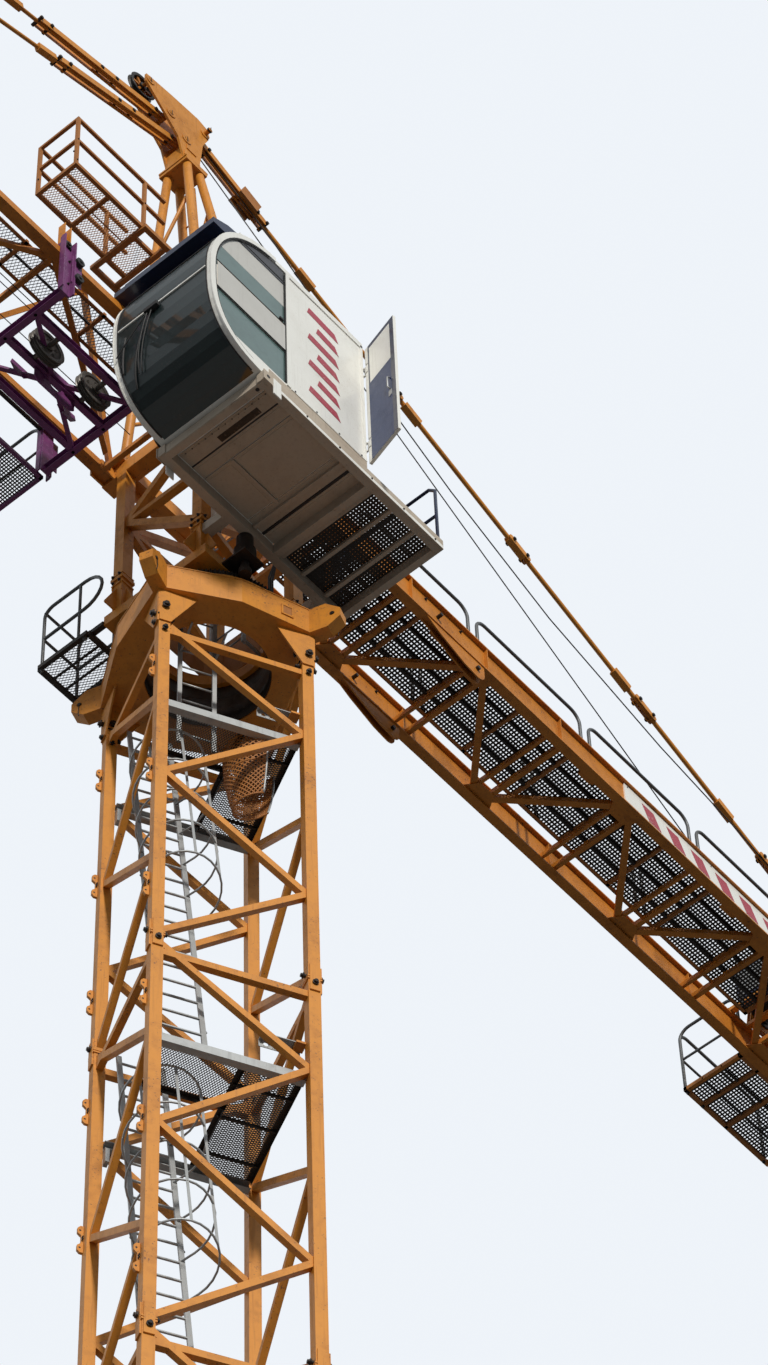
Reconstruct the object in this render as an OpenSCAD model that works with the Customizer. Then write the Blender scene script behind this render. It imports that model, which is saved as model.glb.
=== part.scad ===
// Tower crane with a turning top, trolley jib, counter-jib and side cab
// All sizes in millimetres, ground at z = 0, jib along +X, cab on the +Y side

/* [Mast] */
// Distance between the chord centres on one face
mast_w = 1530; // [1450:10:1600]
// Height of one mast section
section_h = 5000; // [4800:50:5100]
// Number of mast sections
sections = 5; // [3:1:5]
// Side of a square mast chord
chord = 120; // [100:5:140]
// Side of a square lacing bar
lace = 70; // [50:5:80]
// Turn of the mast about its axis against the jib
mast_turn = -27.4; // [-45:0.1:45]
// Height of the base frame
base_h = 300; // [240:10:400]

/* [Slewing part] */
// Radius of the hole in the ring support
ring_hole = 650; // [620:10:680]
// Outer radius of the fixed race
race_r = 900; // [880:10:920]
// Side of a turret column along the jib
column = 150; // [120:10:160]
// Distance of a turret column from the axis along the jib
column_x = 720; // [700:10:740]
// Distance of a turret column from the axis across the jib
column_y = 550; // [540:10:570]
// Height of the cathead pins above the mast top
apex_dz = 11150; // [10600:50:11300]
// Diameter of a cathead leg
leg_d = 110; // [100:5:120]

/* [Jib] */
// Reach of the jib tip from the axis
jib_reach = 24000; // [23000:500:24500]
// Length of one jib bay
jib_bay = 2400; // [2300:50:2450]
// Side offset of a bottom chord
jib_half = 740; // [730:5:750]
// Depth of the jib
jib_depth = 1700; // [1500:50:1900]
// Side of a jib chord
jib_chord = 130; // [120:5:140]

/* [Counter-jib] */
// Reach of the counter-jib end from the axis
counter_reach = 13500; // [13300:100:14000]
// Side offset of a girder
girder_at = 620; // [610:5:630]
// Depth of a girder
girder_h = 450; // [400:10:480]

/* [Cab] */
// Width of the cab
cab_w = 1330; // [1280:10:1380]
// Distance of the inner cab wall from the axis plane
cab_y = 940; // [930:5:960]
// Height of the cab body
cab_h = 2520; // [2460:10:2560]
// Wall thickness of the cab
cab_wall = 40; // [30:5:50]

/* [Running clearances] */
// Gap between parts that move past each other
gap = 8; // [6:1:12]

/* [Hidden] */
$fn = 48;
top = base_h + sections * section_h;
half = mast_w / 2;
quarter = section_h / 4;
seat = 0.3;
inner = mast_w - chord;
race_z = top + 880;
deck_z = top + 1080;
foot_z = deck_z + 150;
frame_z = top + 3800;
head_z = frame_z + 200;
leg_top = top + apex_dz - 1200;
jib_z = top + 3900;
jib_root = 800;
jib_top_z = jib_z + jib_depth;
near_x = jib_root + 5.5 * jib_bay;
far_x = jib_root + 8.5 * jib_bay;
girder_z = top + 3880;
girder_root = column_x + 75 + seat;
tie_x = counter_reach - 2000;
deck_end = 9850;
trestle_z = top + 6560;
head_pin_dz = apex_dz - 100;
cat_rear = 660;
ladder_x = [225, 655];
cab_z = top + 1720;
cab_x = 100;
cab_mid_x = 1500;
cab_nose = 1010;
cab_out = cab_y + cab_w;
beam_z = top + 1560;
hinge_x = cab_x - 25;
hinge_y = cab_out + 20;
door_z = cab_z + 180;
trolley_z = top + 3150;
trolley_x = [1660, 3150];
trolley_y = jib_half + jib_chord / 2 + gap + 12;

// Straight bar of rectangular section between two points
module bar(p, q, w, d) {
    v = q - p;
    l = norm(v);
    translate(p)
        rotate([0, acos(v[2] / l), atan2(v[1], v[0])])
            translate([-w / 2, -d / 2, 0])
                cube([w, d, l]);
}

// Round bar between two points
module rod(p, q, dia) {
    v = q - p;
    l = norm(v);
    translate(p)
        rotate([0, acos(v[2] / l), atan2(v[1], v[0])])
            cylinder(h = l, d = dia);
}

// Many-sided bar between two points
module flat_rod(p, q, dia) {
    v = q - p;
    l = norm(v);
    translate(p)
        rotate([0, acos(v[2] / l), atan2(v[1], v[0])])
            cylinder(h = l, d = dia, $fn = 12);
}

// Flat strip between two points of a drawing
module strip(p, q, w) {
    v = q - p;
    translate(p)
        rotate(atan2(v[1], v[0]))
            translate([0, -w / 2])
                square([norm(v), w]);
}

// Rail run of two round bars and its posts along one straight edge
module rail(p, q, posts, dia) {
    v = q - p;
    for (h = [500, 1000])
        rod(p + [0, 0, h], q + [0, 0, h], dia);
    for (i = [0:posts - 1]) {
        c = p + v * i / max(1, posts - 1);
        rod(c, c + [0, 0, 1000], dia);
    }
}

// Open floor frame: rim and evenly spaced bearers along Y
module floor_frame(a, b, bars, w) {
    linear_extrude(height = b[2] - a[2])
        difference() {
            translate([a[0], a[1]])
                square([b[0] - a[0], b[1] - a[1]]);
            for (i = [0:bars])
                translate([a[0] + w + i * (b[0] - a[0] - w) / (bars + 1), a[1] + w])
                    square([(b[0] - a[0] - w) / (bars + 1) - w, b[1] - a[1] - 2 * w]);
        }
}

// Box given by its two corners
module box(a, b) {
    translate(a)
        cube(b - a);
}

// Turns the mast into its place
module on_mast() {
    rotate([0, 0, mast_turn])
        children();
}

// Outline of the two crossing beams of the base
module base_cross(w) {
    for (a = [45, 135])
        rotate(a)
            square([2700, w], center = true);
}

// Cross of two beams with a foot under each chord
module base_frame() {
    color("dimgray")
    on_mast() {
        linear_extrude(height = 30) {
            base_cross(260);
            square(600, center = true);
            for (x = [-half, half])
                for (y = [-half, half])
                    translate([x, y])
                        square(500, center = true);
        }
        translate([0, 0, 30])
            linear_extrude(height = base_h - 60) {
                base_cross(80);
                for (x = [-half, half])
                    for (y = [-half, half])
                        translate([x, y])
                            square(220, center = true);
            }
        translate([0, 0, base_h - 30])
            linear_extrude(height = 30) {
                base_cross(260);
                for (x = [-half, half])
                    for (y = [-half, half])
                        translate([x, y])
                            square(260, center = true);
            }
    }
}

// Four upright chords with fishplates at the section joints
module mast_chords() {
    color("goldenrod")
    on_mast()
        for (x = [-half, half])
            for (y = [-half, half]) {
                box([x - chord / 2, y - chord / 2, base_h], [x + chord / 2, y + chord / 2, top]);
                for (i = [1:sections - 1]) {
                    z = base_h + i * section_h;
                    sx = sign(x);
                    sy = sign(y);
                    translate([x + sx * (chord / 2 + 8), y, z])
                        cube([18, 100, 360], center = true);
                    translate([x, y + sy * (chord / 2 + 8), z])
                        cube([100, 18, 360], center = true);
                }
            }
}

// Zigzag bars and one cross bar per section on the face at +X before turning
module lacing_face() {
    e = inner / 2;
    translate([half - lace / 2, 0, 0])
        rotate([90, 0, 90])
            linear_extrude(height = lace)
                for (i = [0:sections - 1]) {
                    z = base_h + i * section_h;
                    intersection() {
                        translate([-e, z + 20])
                            square([2 * e, section_h - 40]);
                        union() {
                            strip([-e - 20, z + 90], [e + 20, z + quarter], lace);
                            strip([e + 20, z + quarter], [-e - 20, z + 2 * quarter], lace);
                            strip([-e - 20, z + 2 * quarter], [e + 20, z + 3 * quarter], lace);
                            strip([e + 20, z + 3 * quarter], [-e - 20, z + section_h - 90], lace);
                            translate([-e, z + section_h - 250])
                                square([2 * e, 80]);
                        }
                    }
                }
}

module mast_lacing_a() {
    color("goldenrod")
    on_mast()
        lacing_face();
}

module mast_lacing_b() {
    color("goldenrod")
    on_mast()
        rotate([0, 0, 90])
            lacing_face();
}

module mast_lacing_c() {
    color("goldenrod")
    on_mast()
        rotate([0, 0, 180])
            lacing_face();
}

module mast_lacing_d() {
    color("goldenrod")
    on_mast()
        rotate([0, 0, 270])
            lacing_face();
}

// Resting floors inside the mast, one per section, each with a ladder hatch
module mast_platforms() {
    e = half - lace / 2 - seat;
    x1 = inner / 2 - seat;
    color("dimgray")
    on_mast() {
        box([190, 590, base_h + seat], [690, 690, base_h + 40]);
        for (i = [0:sections - 1]) {
            z = base_h + i * section_h + 3 * quarter;
            translate([0, 0, z]) {
                for (y = [-e, e - 80])
                    box([-x1, y, -100], [x1, y + 80, 0]);
                for (x = [-x1, -160])
                    box([x, -e + 20, -60], [x + 50, e - 20, 0]);
                box([-160, 110, -60], [x1 - 20, 150, 0]);
                box([x1 - 70, 110, -60], [x1 - 20, e - 20, 0]);
                box([-x1, -e + 20, 0], [-110, e - 20, 8]);
                box([-111, 110, 0], [x1 - 20, e - 20, 8]);
            }
        }
    }
}

// Leaning ladders from floor to floor
module mast_ladders() {
    color("lightgray")
    on_mast()
        for (i = [0:sections - 1]) {
            z0 = (i == 0 ? base_h + 40 : base_h + (i - 1) * section_h + 3 * quarter + 8) + 2.4;
            z1 = base_h + i * section_h + 3 * quarter + 1000;
            y0 = 640;
            y1 = y0 - 0.189 * (z1 - z0);
            for (x = ladder_x)
                bar([x, y0, z0], [x, y1, z1], 25, 50);
            n = floor((z1 - z0) / 280);
            for (k = [1:n]) {
                t = k * 280 / (z1 - z0);
                translate([ladder_x[0], y0 + (y1 - y0) * t, z0 + k * 280])
                    rotate([0, 90, 0])
                        cylinder(h = ladder_x[1] - ladder_x[0], d = 26);
            }
        }
}

// Eight-sided outline of the ring support
module ring_outline(o) {
    a = half + 95 - o;
    b = half + 216 - o;
    polygon([[a, a], [0, b], [-a, a], [-b, 0], [-a, -a], [0, -b], [a, -a], [b, 0]]);
}

// Box frame between the mast head and the slewing ring
module ring_support() {
    c = chord / 2;
    r0 = half * sqrt(2);
    color("goldenrod")
    on_mast()
        translate([0, 0, top]) {
            translate([0, 0, 400])
                linear_extrude(height = 20)
                    difference() {
                        ring_outline(0);
                        circle(r = ring_hole + 20);
                    }
            translate([0, 0, 419])
                linear_extrude(height = 372)
                    difference() {
                        ring_outline(0);
                        ring_outline(20);
                    }
            translate([0, 0, 790])
                linear_extrude(height = 20)
                    difference() {
                        ring_outline(0);
                        circle(r = ring_hole + 20);
                    }
            translate([0, 0, 398])
                linear_extrude(height = 417)
                    difference() {
                        circle(r = ring_hole + 40);
                        circle(r = ring_hole + 2);
                    }
            translate([0, 0, 809])
                linear_extrude(height = 71)
                    difference() {
                        circle(r = race_r + 40);
                        circle(r = ring_hole);
                    }
            for (k = [0:3])
                rotate([0, 0, 90 * k]) {
                    translate([half - c - 15, half - c - 15, 0])
                        cube([chord + 30, chord + 30, 405]);
                    for (m = [0, 1])
                        mirror([m, m == 0 ? 0 : -1, 0])
                            translate([0, half + c + seat + 18, 0])
                                rotate([90, 0, 0])
                                    linear_extrude(height = 18)
                                        polygon([[half + 60, -110], [half + 60, 405], [half - 345, 405],
                                            [half - 60, -110]]);
                    rotate([0, 0, 45])
                        translate([0, 75, 0])
                            rotate([90, 0, 0])
                                linear_extrude(height = 150)
                                    difference() {
                                        polygon([[r0 + 60, 404], [r0 + 60, 806], [r0 + 260, 806],
                                            [r0 + 420, 650], [r0 + 420, 520], [r0 + 280, 404]]);
                                        translate([r0 + 330, 600])
                                            circle(r = 30);
                                    }
                }
        }
}

// Outer race bolted to the ring support
module fixed_race() {
    color("dimgray")
    translate([0, 0, race_z])
        difference() {
            cylinder(h = 120, r = race_r);
            translate([0, 0, -1])
                cylinder(h = 122, r = race_r - 100);
        }
}

// Inner race that carries the turning top
module turning_race() {
    color("gray")
    translate([0, 0, race_z + gap])
        difference() {
            cylinder(h = deck_z - race_z - gap, r = race_r - 100 - gap);
            translate([0, 0, -1])
                cylinder(h = deck_z - race_z, r = ring_hole);
        }
}

// Square base of the turning tower with the climbing hole
module turret_base() {
    color("goldenrod")
    translate([0, 0, deck_z])
        linear_extrude(height = 150)
            difference() {
                square([2 * column_x + 200, 2 * column_y + 300], center = true);
                circle(r = ring_hole - 50);
            }
}

// Four upright columns with bolted flanges
module turret_columns() {
    color("goldenrod")
    for (x = [-column_x, column_x])
        for (y = [-column_y, column_y]) {
            box([x - column / 2, y - 65, foot_z + seat], [x + column / 2, y + 65, frame_z - seat]);
            box([x - column / 2 - 20, y - 85, top + 1780], [x + column / 2 + 20, y + 85, top + 1830]);
        }
}

// Zigzag of one tower side, drawn flat between two columns
module tower_zigzag(e, start, low) {
    z0 = foot_z + seat;
    z1 = frame_z - seat;
    intersection() {
        translate([-e, z0])
            square([2 * e, z1 - z0]);
        union() {
            if (low)
                strip([-start * (e + 30), z0 + 60], [start * (e + 30), z0 + 700], 90);
            strip([start * (e + 30), z0 + 700], [-start * (e + 30), z0 + 1610], 90);
            strip([-start * (e + 30), z0 + 1610], [start * (e + 30), z1 - 60], 90);
            translate([-e, z0 + 1570])
                square([2 * e, 70]);
        }
    }
}

// Flat bracing on the four sides of the tower
module turret_bracing() {
    ex = column_x - column / 2 - seat;
    ey = column_y - 65 - seat;
    color("goldenrod")
    for (s = [-1, 1]) {
        translate([s * column_x - 45, 0, 0])
            rotate([90, 0, 90])
                linear_extrude(height = 90)
                    tower_zigzag(ey, 1, s < 0);
        translate([0, s * column_y + 45, 0])
            rotate([90, 0, 0])
                linear_extrude(height = 90)
                    tower_zigzag(ex, s, true);
    }
}

// Frame on top of the tower with the feet of jib, counter-jib and cathead
module turret_head() {
    color("goldenrod") {
        translate([0, 0, frame_z])
            linear_extrude(height = 200)
                difference() {
                    square([2 * column_x + 150, 2 * column_y + 300], center = true);
                    square([2 * column_x - 240, 2 * column_y - 130], center = true);
                }
        box([column_x - 120, -jib_half - 100, frame_z], [column_x + 75, jib_half + 100, frame_z + 200]);
        for (s = [-1, 1]) {
            for (o = [-1, 1]) {
                y = s * jib_half + o * (jib_chord / 2 + 10 + seat);
                box([column_x + 70, y - 10, frame_z], [jib_root + 200, y + 10, jib_z + 50]);
                w = s * girder_at + o * (60 + 12 + seat);
                box([-1050, w - 12, frame_z + 60], [-column_x - 70, w + 12, frame_z + 460]);
                box([-column_x - 75, w - 12, frame_z + 10], [-cat_rear - 80, w + 12, frame_z + 460]);
            }
            for (k = [-1, 1])
                translate([0, s * (column_y + 55) + 9, 0])
                    rotate([90, 0, 0])
                        linear_extrude(height = 18)
                            polygon([[k * (column_x - 75 - seat), frame_z + 1],
                                [k * (column_x - 420), frame_z + 1],
                                [k * (column_x - 260), frame_z - 120],
                                [k * (column_x - 130), frame_z - 300],
                                [k * (column_x - 75 - seat), frame_z - 560]]);
        }
    }
}

// Geared motor that turns the top on the race
module slew_drive() {
    a = 64.5;
    d = race_r + 76;
    x = d * cos(a);
    y = d * sin(a);
    color("dimgray") {
        translate([x, y, race_z + 25])
            cylinder(h = 90, r = 68);
        translate([x, y, race_z + 110])
            cylinder(h = 120, r = 45);
        box([x - 150, column_y + 150 + seat, deck_z + 30], [x + 150, y + 130, deck_z + 60]);
        translate([x, y, deck_z + 60])
            cylinder(h = 180, r = 120);
        translate([x, y, deck_z + 240])
            cylinder(h = beam_z - deck_z - 250, r = 90);
    }
}

// Small side balcony on the turning top with its rail
module balcony() {
    z = deck_z - 50 + seat;
    y1 = -column_y - 150 - seat;
    color("dimgray") {
        translate([0, 0, z])
            floor_frame([310, -1560, 0], [870, -875, 60], 0, 50);
        for (x = [340, 780])
            box([x, -900, z + 50], [x + 60, y1, z + 110]);
        rail([330, -1540, z + 60], [850, -1540, z + 60], 2, 38);
        for (x = [330, 850])
            rail([x, -1540, z + 60], [x, -900, z + 60], 2, 38);
    }
}

// Point on a leg of the cathead: k = 1 front, -1 rear; s = side
function leg_at(k, s, z) =
    let (t = (z - head_z) / (leg_top - head_z), x0 = k > 0 ? 690 : -cat_rear, x1 = k > 0 ? 610 : 410)
        [x0 + (x1 - x0) * t, s * (640 - 490 * t), z];

// Four leaning legs of the cathead with thin cross tubes
module cathead_legs() {
    lv = [for (i = [0:4]) head_z + (leg_top - head_z) * (0.16 + 0.18 * i)];
    color("goldenrod") {
        box([330, -220, leg_top - 60], [690, 220, leg_top - seat]);
        for (s = [-1, 1]) {
            for (k = [-1, 1]) {
                f = leg_at(k, s, head_z);
                box(f + [-75, -75, seat], f + [75, 75, 60]);
                flat_rod(leg_at(k, s, head_z + 30), leg_at(k, s, leg_top - 30), leg_d);
            }
            bar(leg_at(1, s, lv[2] + 90), leg_at(-1, s, lv[2] + 90), 50, 50);
            bar(leg_at(1, s, lv[0] - 60), leg_at(-1, s, lv[1] + 90), 46, 46);
        }
        for (k = [-1, 1])
            for (i = [0:3]) {
                w = i % 2 == 0 ? 1 : -1;
                bar(leg_at(k, w, lv[i] + 30), leg_at(k, -w, lv[i + 1] - 30), 46, 46);
            }
    }
}

// Side plates and pins at the top of the cathead
module cathead_head() {
    a = top + apex_dz;
    color("goldenrod") {
        box([320, -220, leg_top], [700, 220, leg_top + 30]);
        box([340, -116, leg_top + 29], [680, 116, leg_top + 330]);
        for (s = [-1, 1])
            translate([0, s * 130 + 15, 0])
                rotate([90, 0, 0])
                    linear_extrude(height = 30)
                        polygon([[400, leg_top + 20], [640, leg_top + 20], [760, a - 760], [980, a - 520],
                            [1340, a - 170], [1340, a - 10], [900, a + 60], [420, a + 110], [230, a + 60],
                            [230, a - 150], [330, a - 420]]);
        rod([300, -240, top + head_pin_dz], [300, 240, top + head_pin_dz], 60);
        rod([620, -160, a - 656], [620, 160, a - 656], 60);
        rod([900, -160, a - 390], [900, 160, a - 390], 60);
        rod([1270, -160, a - 90], [1270, 160, a - 90], 50);
    }
}

module head_sheave() {
    color("dimgray")
    translate([1270, 40, top + apex_dz - 90])
        rotate([90, 0, 0])
            difference() {
                cylinder(h = 80, d = 420);
                translate([0, 0, -1])
                    cylinder(h = 82, d = 50 + 2 * seat);
            }
}

// Service floor in front of the cathead
module cathead_platform() {
    z = top + apex_dz - 4150;
    y0 = -250;
    y1 = 370;
    color("sienna") {
        translate([0, 0, z]) {
            floor_frame([1500, y0, 0], [2640, y1, 60], 1, 45);
            floor_frame([1150, y0, 0], [1520, 220, 60], 0, 45);
        }
        for (s = [-1, 1]) {
            f = leg_at(1, s, z + 10);
            box([f[0] + leg_d / 2 + 1, f[1] - 30, z - 50], [1560, f[1] + 30, z + 20]);
        }
        box([1150, -400, z - 40], [1210, 400, z + 20]);
        box([1500, -400, z - 40], [1560, 400, z + 20]);
        for (x = [1500, 2600])
            for (y = [y0, y1 - 40])
                box([x, y, z + 50], [x + 40, y + 40, z + 1060]);
        for (h = [540, 1020]) {
            for (y = [y0, y1 - 40])
                box([1180, y, z + h], [2640, y + 40, z + h + 40]);
            box([2600, y0, z + h], [2640, y1, z + h + 40]);
        }
    }
}

// Three jib chords and the tip frame
module jib_chords() {
    n = floor((jib_reach - jib_root) / jib_bay);
    c = jib_chord / 2;
    color("goldenrod") {
        for (s = [-1, 1])
            box([jib_root, s * jib_half - c, jib_z - 50], [jib_reach, s * jib_half + c, jib_z + 60]);
        box([jib_root + jib_bay / 2 - 60, -50, jib_top_z - 50],
            [jib_root + (n - 0.5) * jib_bay + 60, 50, jib_top_z + 50]);
        for (x = [near_x, far_x])
            box([x - 60, -30, jib_top_z], [x + 60, 30, jib_top_z + 160]);
        box([jib_reach - 100, -jib_half, jib_z - 50], [jib_reach, jib_half, jib_z + 60]);
    }
}

// Zigzag from one bottom chord to the top chord, in the leaning plane of a jib side
module side_lacing(s) {
    n = floor((jib_reach - jib_root) / jib_bay);
    foot = jib_half - 30;
    rise = jib_depth - 110;
    run = foot - 60;
    l = norm([run, rise]);
    color("goldenrod")
    translate([0, s * foot, jib_z + 60 + seat])
        rotate([90 + s * atan(run / rise), 0, 0])
            translate([0, 0, -30])
                linear_extrude(height = 60)
                    intersection() {
                        translate([jib_root, 16])
                            square([jib_reach - jib_root, l - 32]);
                        for (i = [0:n - 1]) {
                            x = jib_root + i * jib_bay;
                            strip([x, 0], [x + jib_bay / 2, l], 60);
                            strip([x + jib_bay / 2, l], [x + jib_bay, 0], 60);
                        }
                    }
}

module jib_lacing_left() {
    side_lacing(1);
}

module jib_lacing_right() {
    side_lacing(-1);
}

// Cross bars and diagonals between the bottom chords
module jib_lacing_bottom() {
    n = floor((jib_reach - jib_root) / jib_bay);
    e = jib_half - jib_chord / 2;
    color("goldenrod")
    translate([0, 0, jib_z - 30])
        linear_extrude(height = 60)
            intersection() {
                translate([jib_root + 260, -e])
                    square([jib_reach - jib_root - 360 - seat, 2 * e]);
                for (i = [0:n - 1]) {
                    x = jib_root + i * jib_bay;
                    s = i % 2 == 0 ? 1 : -1;
                    strip([x, -s * (e + 20)], [x + jib_bay, s * (e + 20)], 60);
                    strip([x + jib_bay, -e - 20], [x + jib_bay, e + 20], 60);
                }
            }
}

// Narrow walkway frame inside the jib
module jib_walkway() {
    color("dimgray")
    translate([0, 0, jib_z + 30 + seat])
        floor_frame([jib_root + 300, 180, 0], [jib_reach - 300, 600, 50], 18, 40);
}

// Rod line with linked joints between two pins
module tie_line(p0, q0, dia, links, short) {
    u = (q0 - p0) / norm(q0 - p0);
    p = p0 + u * 32;
    q = q0 - u * short;
    v = q - p;
    rod(p, q, dia);
    for (i = [1:links]) {
        m = p + v * i / (links + 1);
        a = atan2(-v[2], v[0]);
        translate(m)
            rotate([0, a, 0])
                cube([300, dia + 30, dia + 40], center = true);
    }
}

module jib_tie_near() {
    color("goldenrod")
    tie_line([620, 0, top + apex_dz - 656], [near_x, 0, jib_top_z + 100], 50, 5, 74);
}

module jib_tie_far() {
    color("goldenrod")
    tie_line([900, 0, top + apex_dz - 390], [far_x, 0, jib_top_z + 100], 50, 7, 74);
}

// Two deep side girders of the counter-jib and the trestle between them
module counter_girders() {
    color("goldenrod") {
        for (s = [-1, 1]) {
            y = s * girder_at;
            box([-counter_reach, y - 60, girder_z], [-girder_root, y + 60, girder_z + 20]);
            box([-counter_reach, y - 60, girder_z + girder_h - 20],
                [-girder_root, y + 60, girder_z + girder_h]);
            box([-counter_reach, y - 8, girder_z], [-girder_root, y + 8, girder_z + girder_h]);
            for (k = [-1, 1])
                bar([-tie_x + k * 340, y, girder_z + girder_h - 12],
                    [-tie_x + k * 20, s * 50, trestle_z - 120], 80, 80);
        }
        box([-tie_x - 90, -120, trestle_z - 180], [-tie_x + 90, 120, trestle_z - 70]);
        box([-tie_x - 60, -30, trestle_z - 71], [-tie_x + 60, 30, trestle_z + 70]);
    }
}

// Cross members and diagonals between the girders
module counter_bracing() {
    bay = 2600;
    first = 2580;
    e = girder_at - 8 - seat;
    color("goldenrod")
    translate([0, 0, girder_z + 60])
        linear_extrude(height = 70)
            intersection() {
                translate([-counter_reach + 1500, -e])
                    square([counter_reach - 2600, 2 * e]);
                union() {
                    for (i = [0:3]) {
                        x = -first - i * bay;
                        strip([x, -e - 20], [x + bay / 2, e + 20], 80);
                        strip([x, -e - 20], [x - bay / 2, e + 20], 80);
                    }
                    for (i = [-1:7]) {
                        x = -first - i * bay / 2;
                        strip([x + 110, -e], [x + 110, e], 40);
                        strip([x - 110, -e], [x - 110, e], 60);
                    }
                }
            }
}

// Deck frame towards the cab side
module counter_deck() {
    color("dimgray")
    translate([0, 0, girder_z + 130 + seat])
        floor_frame([-deck_end, -330, 0], [-1150, girder_at - 62, 50], 9, 45);
}

// Hand rails on both edges of the deck, in equal panels
module counter_rail() {
    z = girder_z + 180 + 2 * seat;
    color("dimgray")
    for (i = [0:3])
        for (y = [-307, girder_at - 85]) {
            x = -1910 - i * 2010;
            rail([x, y, z], [x - 1850, y, z], 2, 42);
        }
}

// Plain board on the outer web of one girder
module side_board() {
    color("white")
    box([-9600, girder_at + 8 + seat, girder_z + 30], [-6380, girder_at + 26, girder_z + girder_h - 30]);
}

// Outer service platform on the far side
module side_platform() {
    z = girder_z;
    y1 = -girder_at - 60 - seat;
    color("dimgray") {
        translate([0, 0, z])
            floor_frame([-11780, -1550, 0], [-10200, y1, 60], 1, 50);
        rail([-11760, -1530, z + 60], [-10220, -1530, z + 60], 3, 42);
        for (x = [-11760, -10220])
            rail([x, -1530, z + 60], [x, -710, z + 60], 2, 42);
    }
}

// Cast blocks hung between the girders at the end
module counterweights() {
    color("silver")
    for (i = [0:2]) {
        x = -counter_reach + 200 + i * 430;
        z = girder_z + girder_h + seat;
        box([x, -540, girder_z - 1500], [x + 410, 540, z + 200]);
        box([x, -700, z], [x + 410, 700, z + 200]);
    }
}

// Rope winch on the counter-jib
module hoist_winch() {
    z = girder_z + girder_h + seat;
    color("slategray") {
        box([-11050, -670, z], [-9900, 670, z + 60]);
        translate([-10450, 500, z + 420])
            rotate([90, 0, 0])
                cylinder(h = 1000, d = 520);
        for (y = [-560, 500])
            box([-10670, y, z + 60], [-10230, y + 60, z + 700]);
    }
}

// Middle link line from the cathead to the trestle on the counter-jib
module counter_ties() {
    color("goldenrod")
    tie_line([300, 0, top + head_pin_dz], [-tie_x, 0, trestle_z], 60, 5, 78);
}

// Beams that carry the cab beside the turret, and the walkway behind it
module cab_beams() {
    z = beam_z;
    color("tan") {
        for (y = [cab_y - 10, cab_out])
            box([-1040, y - 50, z], [1750, y + 50, cab_z]);
        for (x = [-1040, 10, 1650])
            box([x, cab_y, z], [x + 80, cab_out, cab_z]);
        for (x = [-column_x - 60, column_x - 60])
            box([x, column_y + 65 + seat, z], [x + 120, cab_y - 20, z + 140]);
        for (i = [1:3])
            box([-1040 + i * 262, cab_y, z + 80], [-990 + i * 262, cab_out, z + 130]);
    }
}

// Side outline of the cab, drawn inwards by o: rounded nose, flat rear
function cab_side(o) =
    let (zc = cab_z + cab_h / 2, rx = cab_nose - o, rz = cab_h / 2 - o)
        concat([for (a = [90:-7.5:0]) [cab_mid_x + rx * cos(a), zc + rz * sin(a)]],
            [for (a = [7.5:7.5:90]) [cab_mid_x + rx * pow(cos(a), 2 / 3), zc - rz * pow(sin(a), 2 / 3)]],
            [[cab_x + o, cab_z + o], [cab_x + o, cab_z + cab_h - o]]);

// Slab with the cab's side outline
module cab_prism(o, y0, y1) {
    translate([0, y1, 0])
        rotate([90, 0, 0])
            linear_extrude(height = y1 - y0)
                polygon(cab_side(o));
}

// Side window outline inside the front arch
module side_window(o) {
    intersection() {
        polygon(cab_side(70 + o));
        translate([1340 + o, cab_z + 250 + o])
            square([1400, cab_h]);
    }
}

module cab_shell() {
    y0 = cab_y;
    y1 = cab_out;
    z1 = cab_z + cab_h;
    color("white") {
        difference() {
            cab_prism(0, y0, y1);
            cab_prism(cab_wall, y0 + cab_wall, y1 - cab_wall);
            for (y = [y0 - 10, y1 - cab_wall - 10])
                translate([0, y + cab_wall + 20, 0])
                    rotate([90, 0, 0])
                        linear_extrude(height = cab_wall + 20)
                            difference() {
                                side_window(0);
                                translate([1300, cab_z + 880])
                                    square([1300, 400]);
                            }
            box([cab_mid_x + 280, y0 + 60, cab_z - 10], [2600, y1 - 60, z1 - 100]);
            box([cab_x - 10, y1 - 480, door_z + 30], [cab_x + cab_wall + 10, y1 - 80, z1 - 200]);
        }
        for (z = [door_z + 300, z1 - 600]) {
            box([hinge_x - 8, y1 - 20, z - 20], [cab_x + 12, y1 - 1, z - 6]);
            box([hinge_x - 8, y1 - 20, z - 20], [hinge_x + 8, hinge_y + 8, z - 6]);
            box([hinge_x - 8, y1 - 20, z + 126], [cab_x + 12, y1 - 1, z + 140]);
            box([hinge_x - 8, y1 - 20, z + 126], [hinge_x + 8, hinge_y + 8, z + 140]);
            translate([hinge_x, hinge_y, z - 20])
                cylinder(h = 160, r = 8);
        }
    }
}

// Roof slab with the visor over the front window
module cab_roof() {
    z = cab_z + cab_h;
    color("midnightblue")
    translate([0, cab_out - 80, 0])
        rotate([90, 0, 0])
            linear_extrude(height = cab_w + 80)
                difference() {
                    polygon([[60, z], [60, z + 40], [cab_mid_x, z + 40], [2150, z - 40], [2370, z - 150],
                        [2370, z - 240], [2160, z - 240], [1900, z - 130], [cab_mid_x, z]]);
                    polygon(cab_side(-seat));
                }
}

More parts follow.
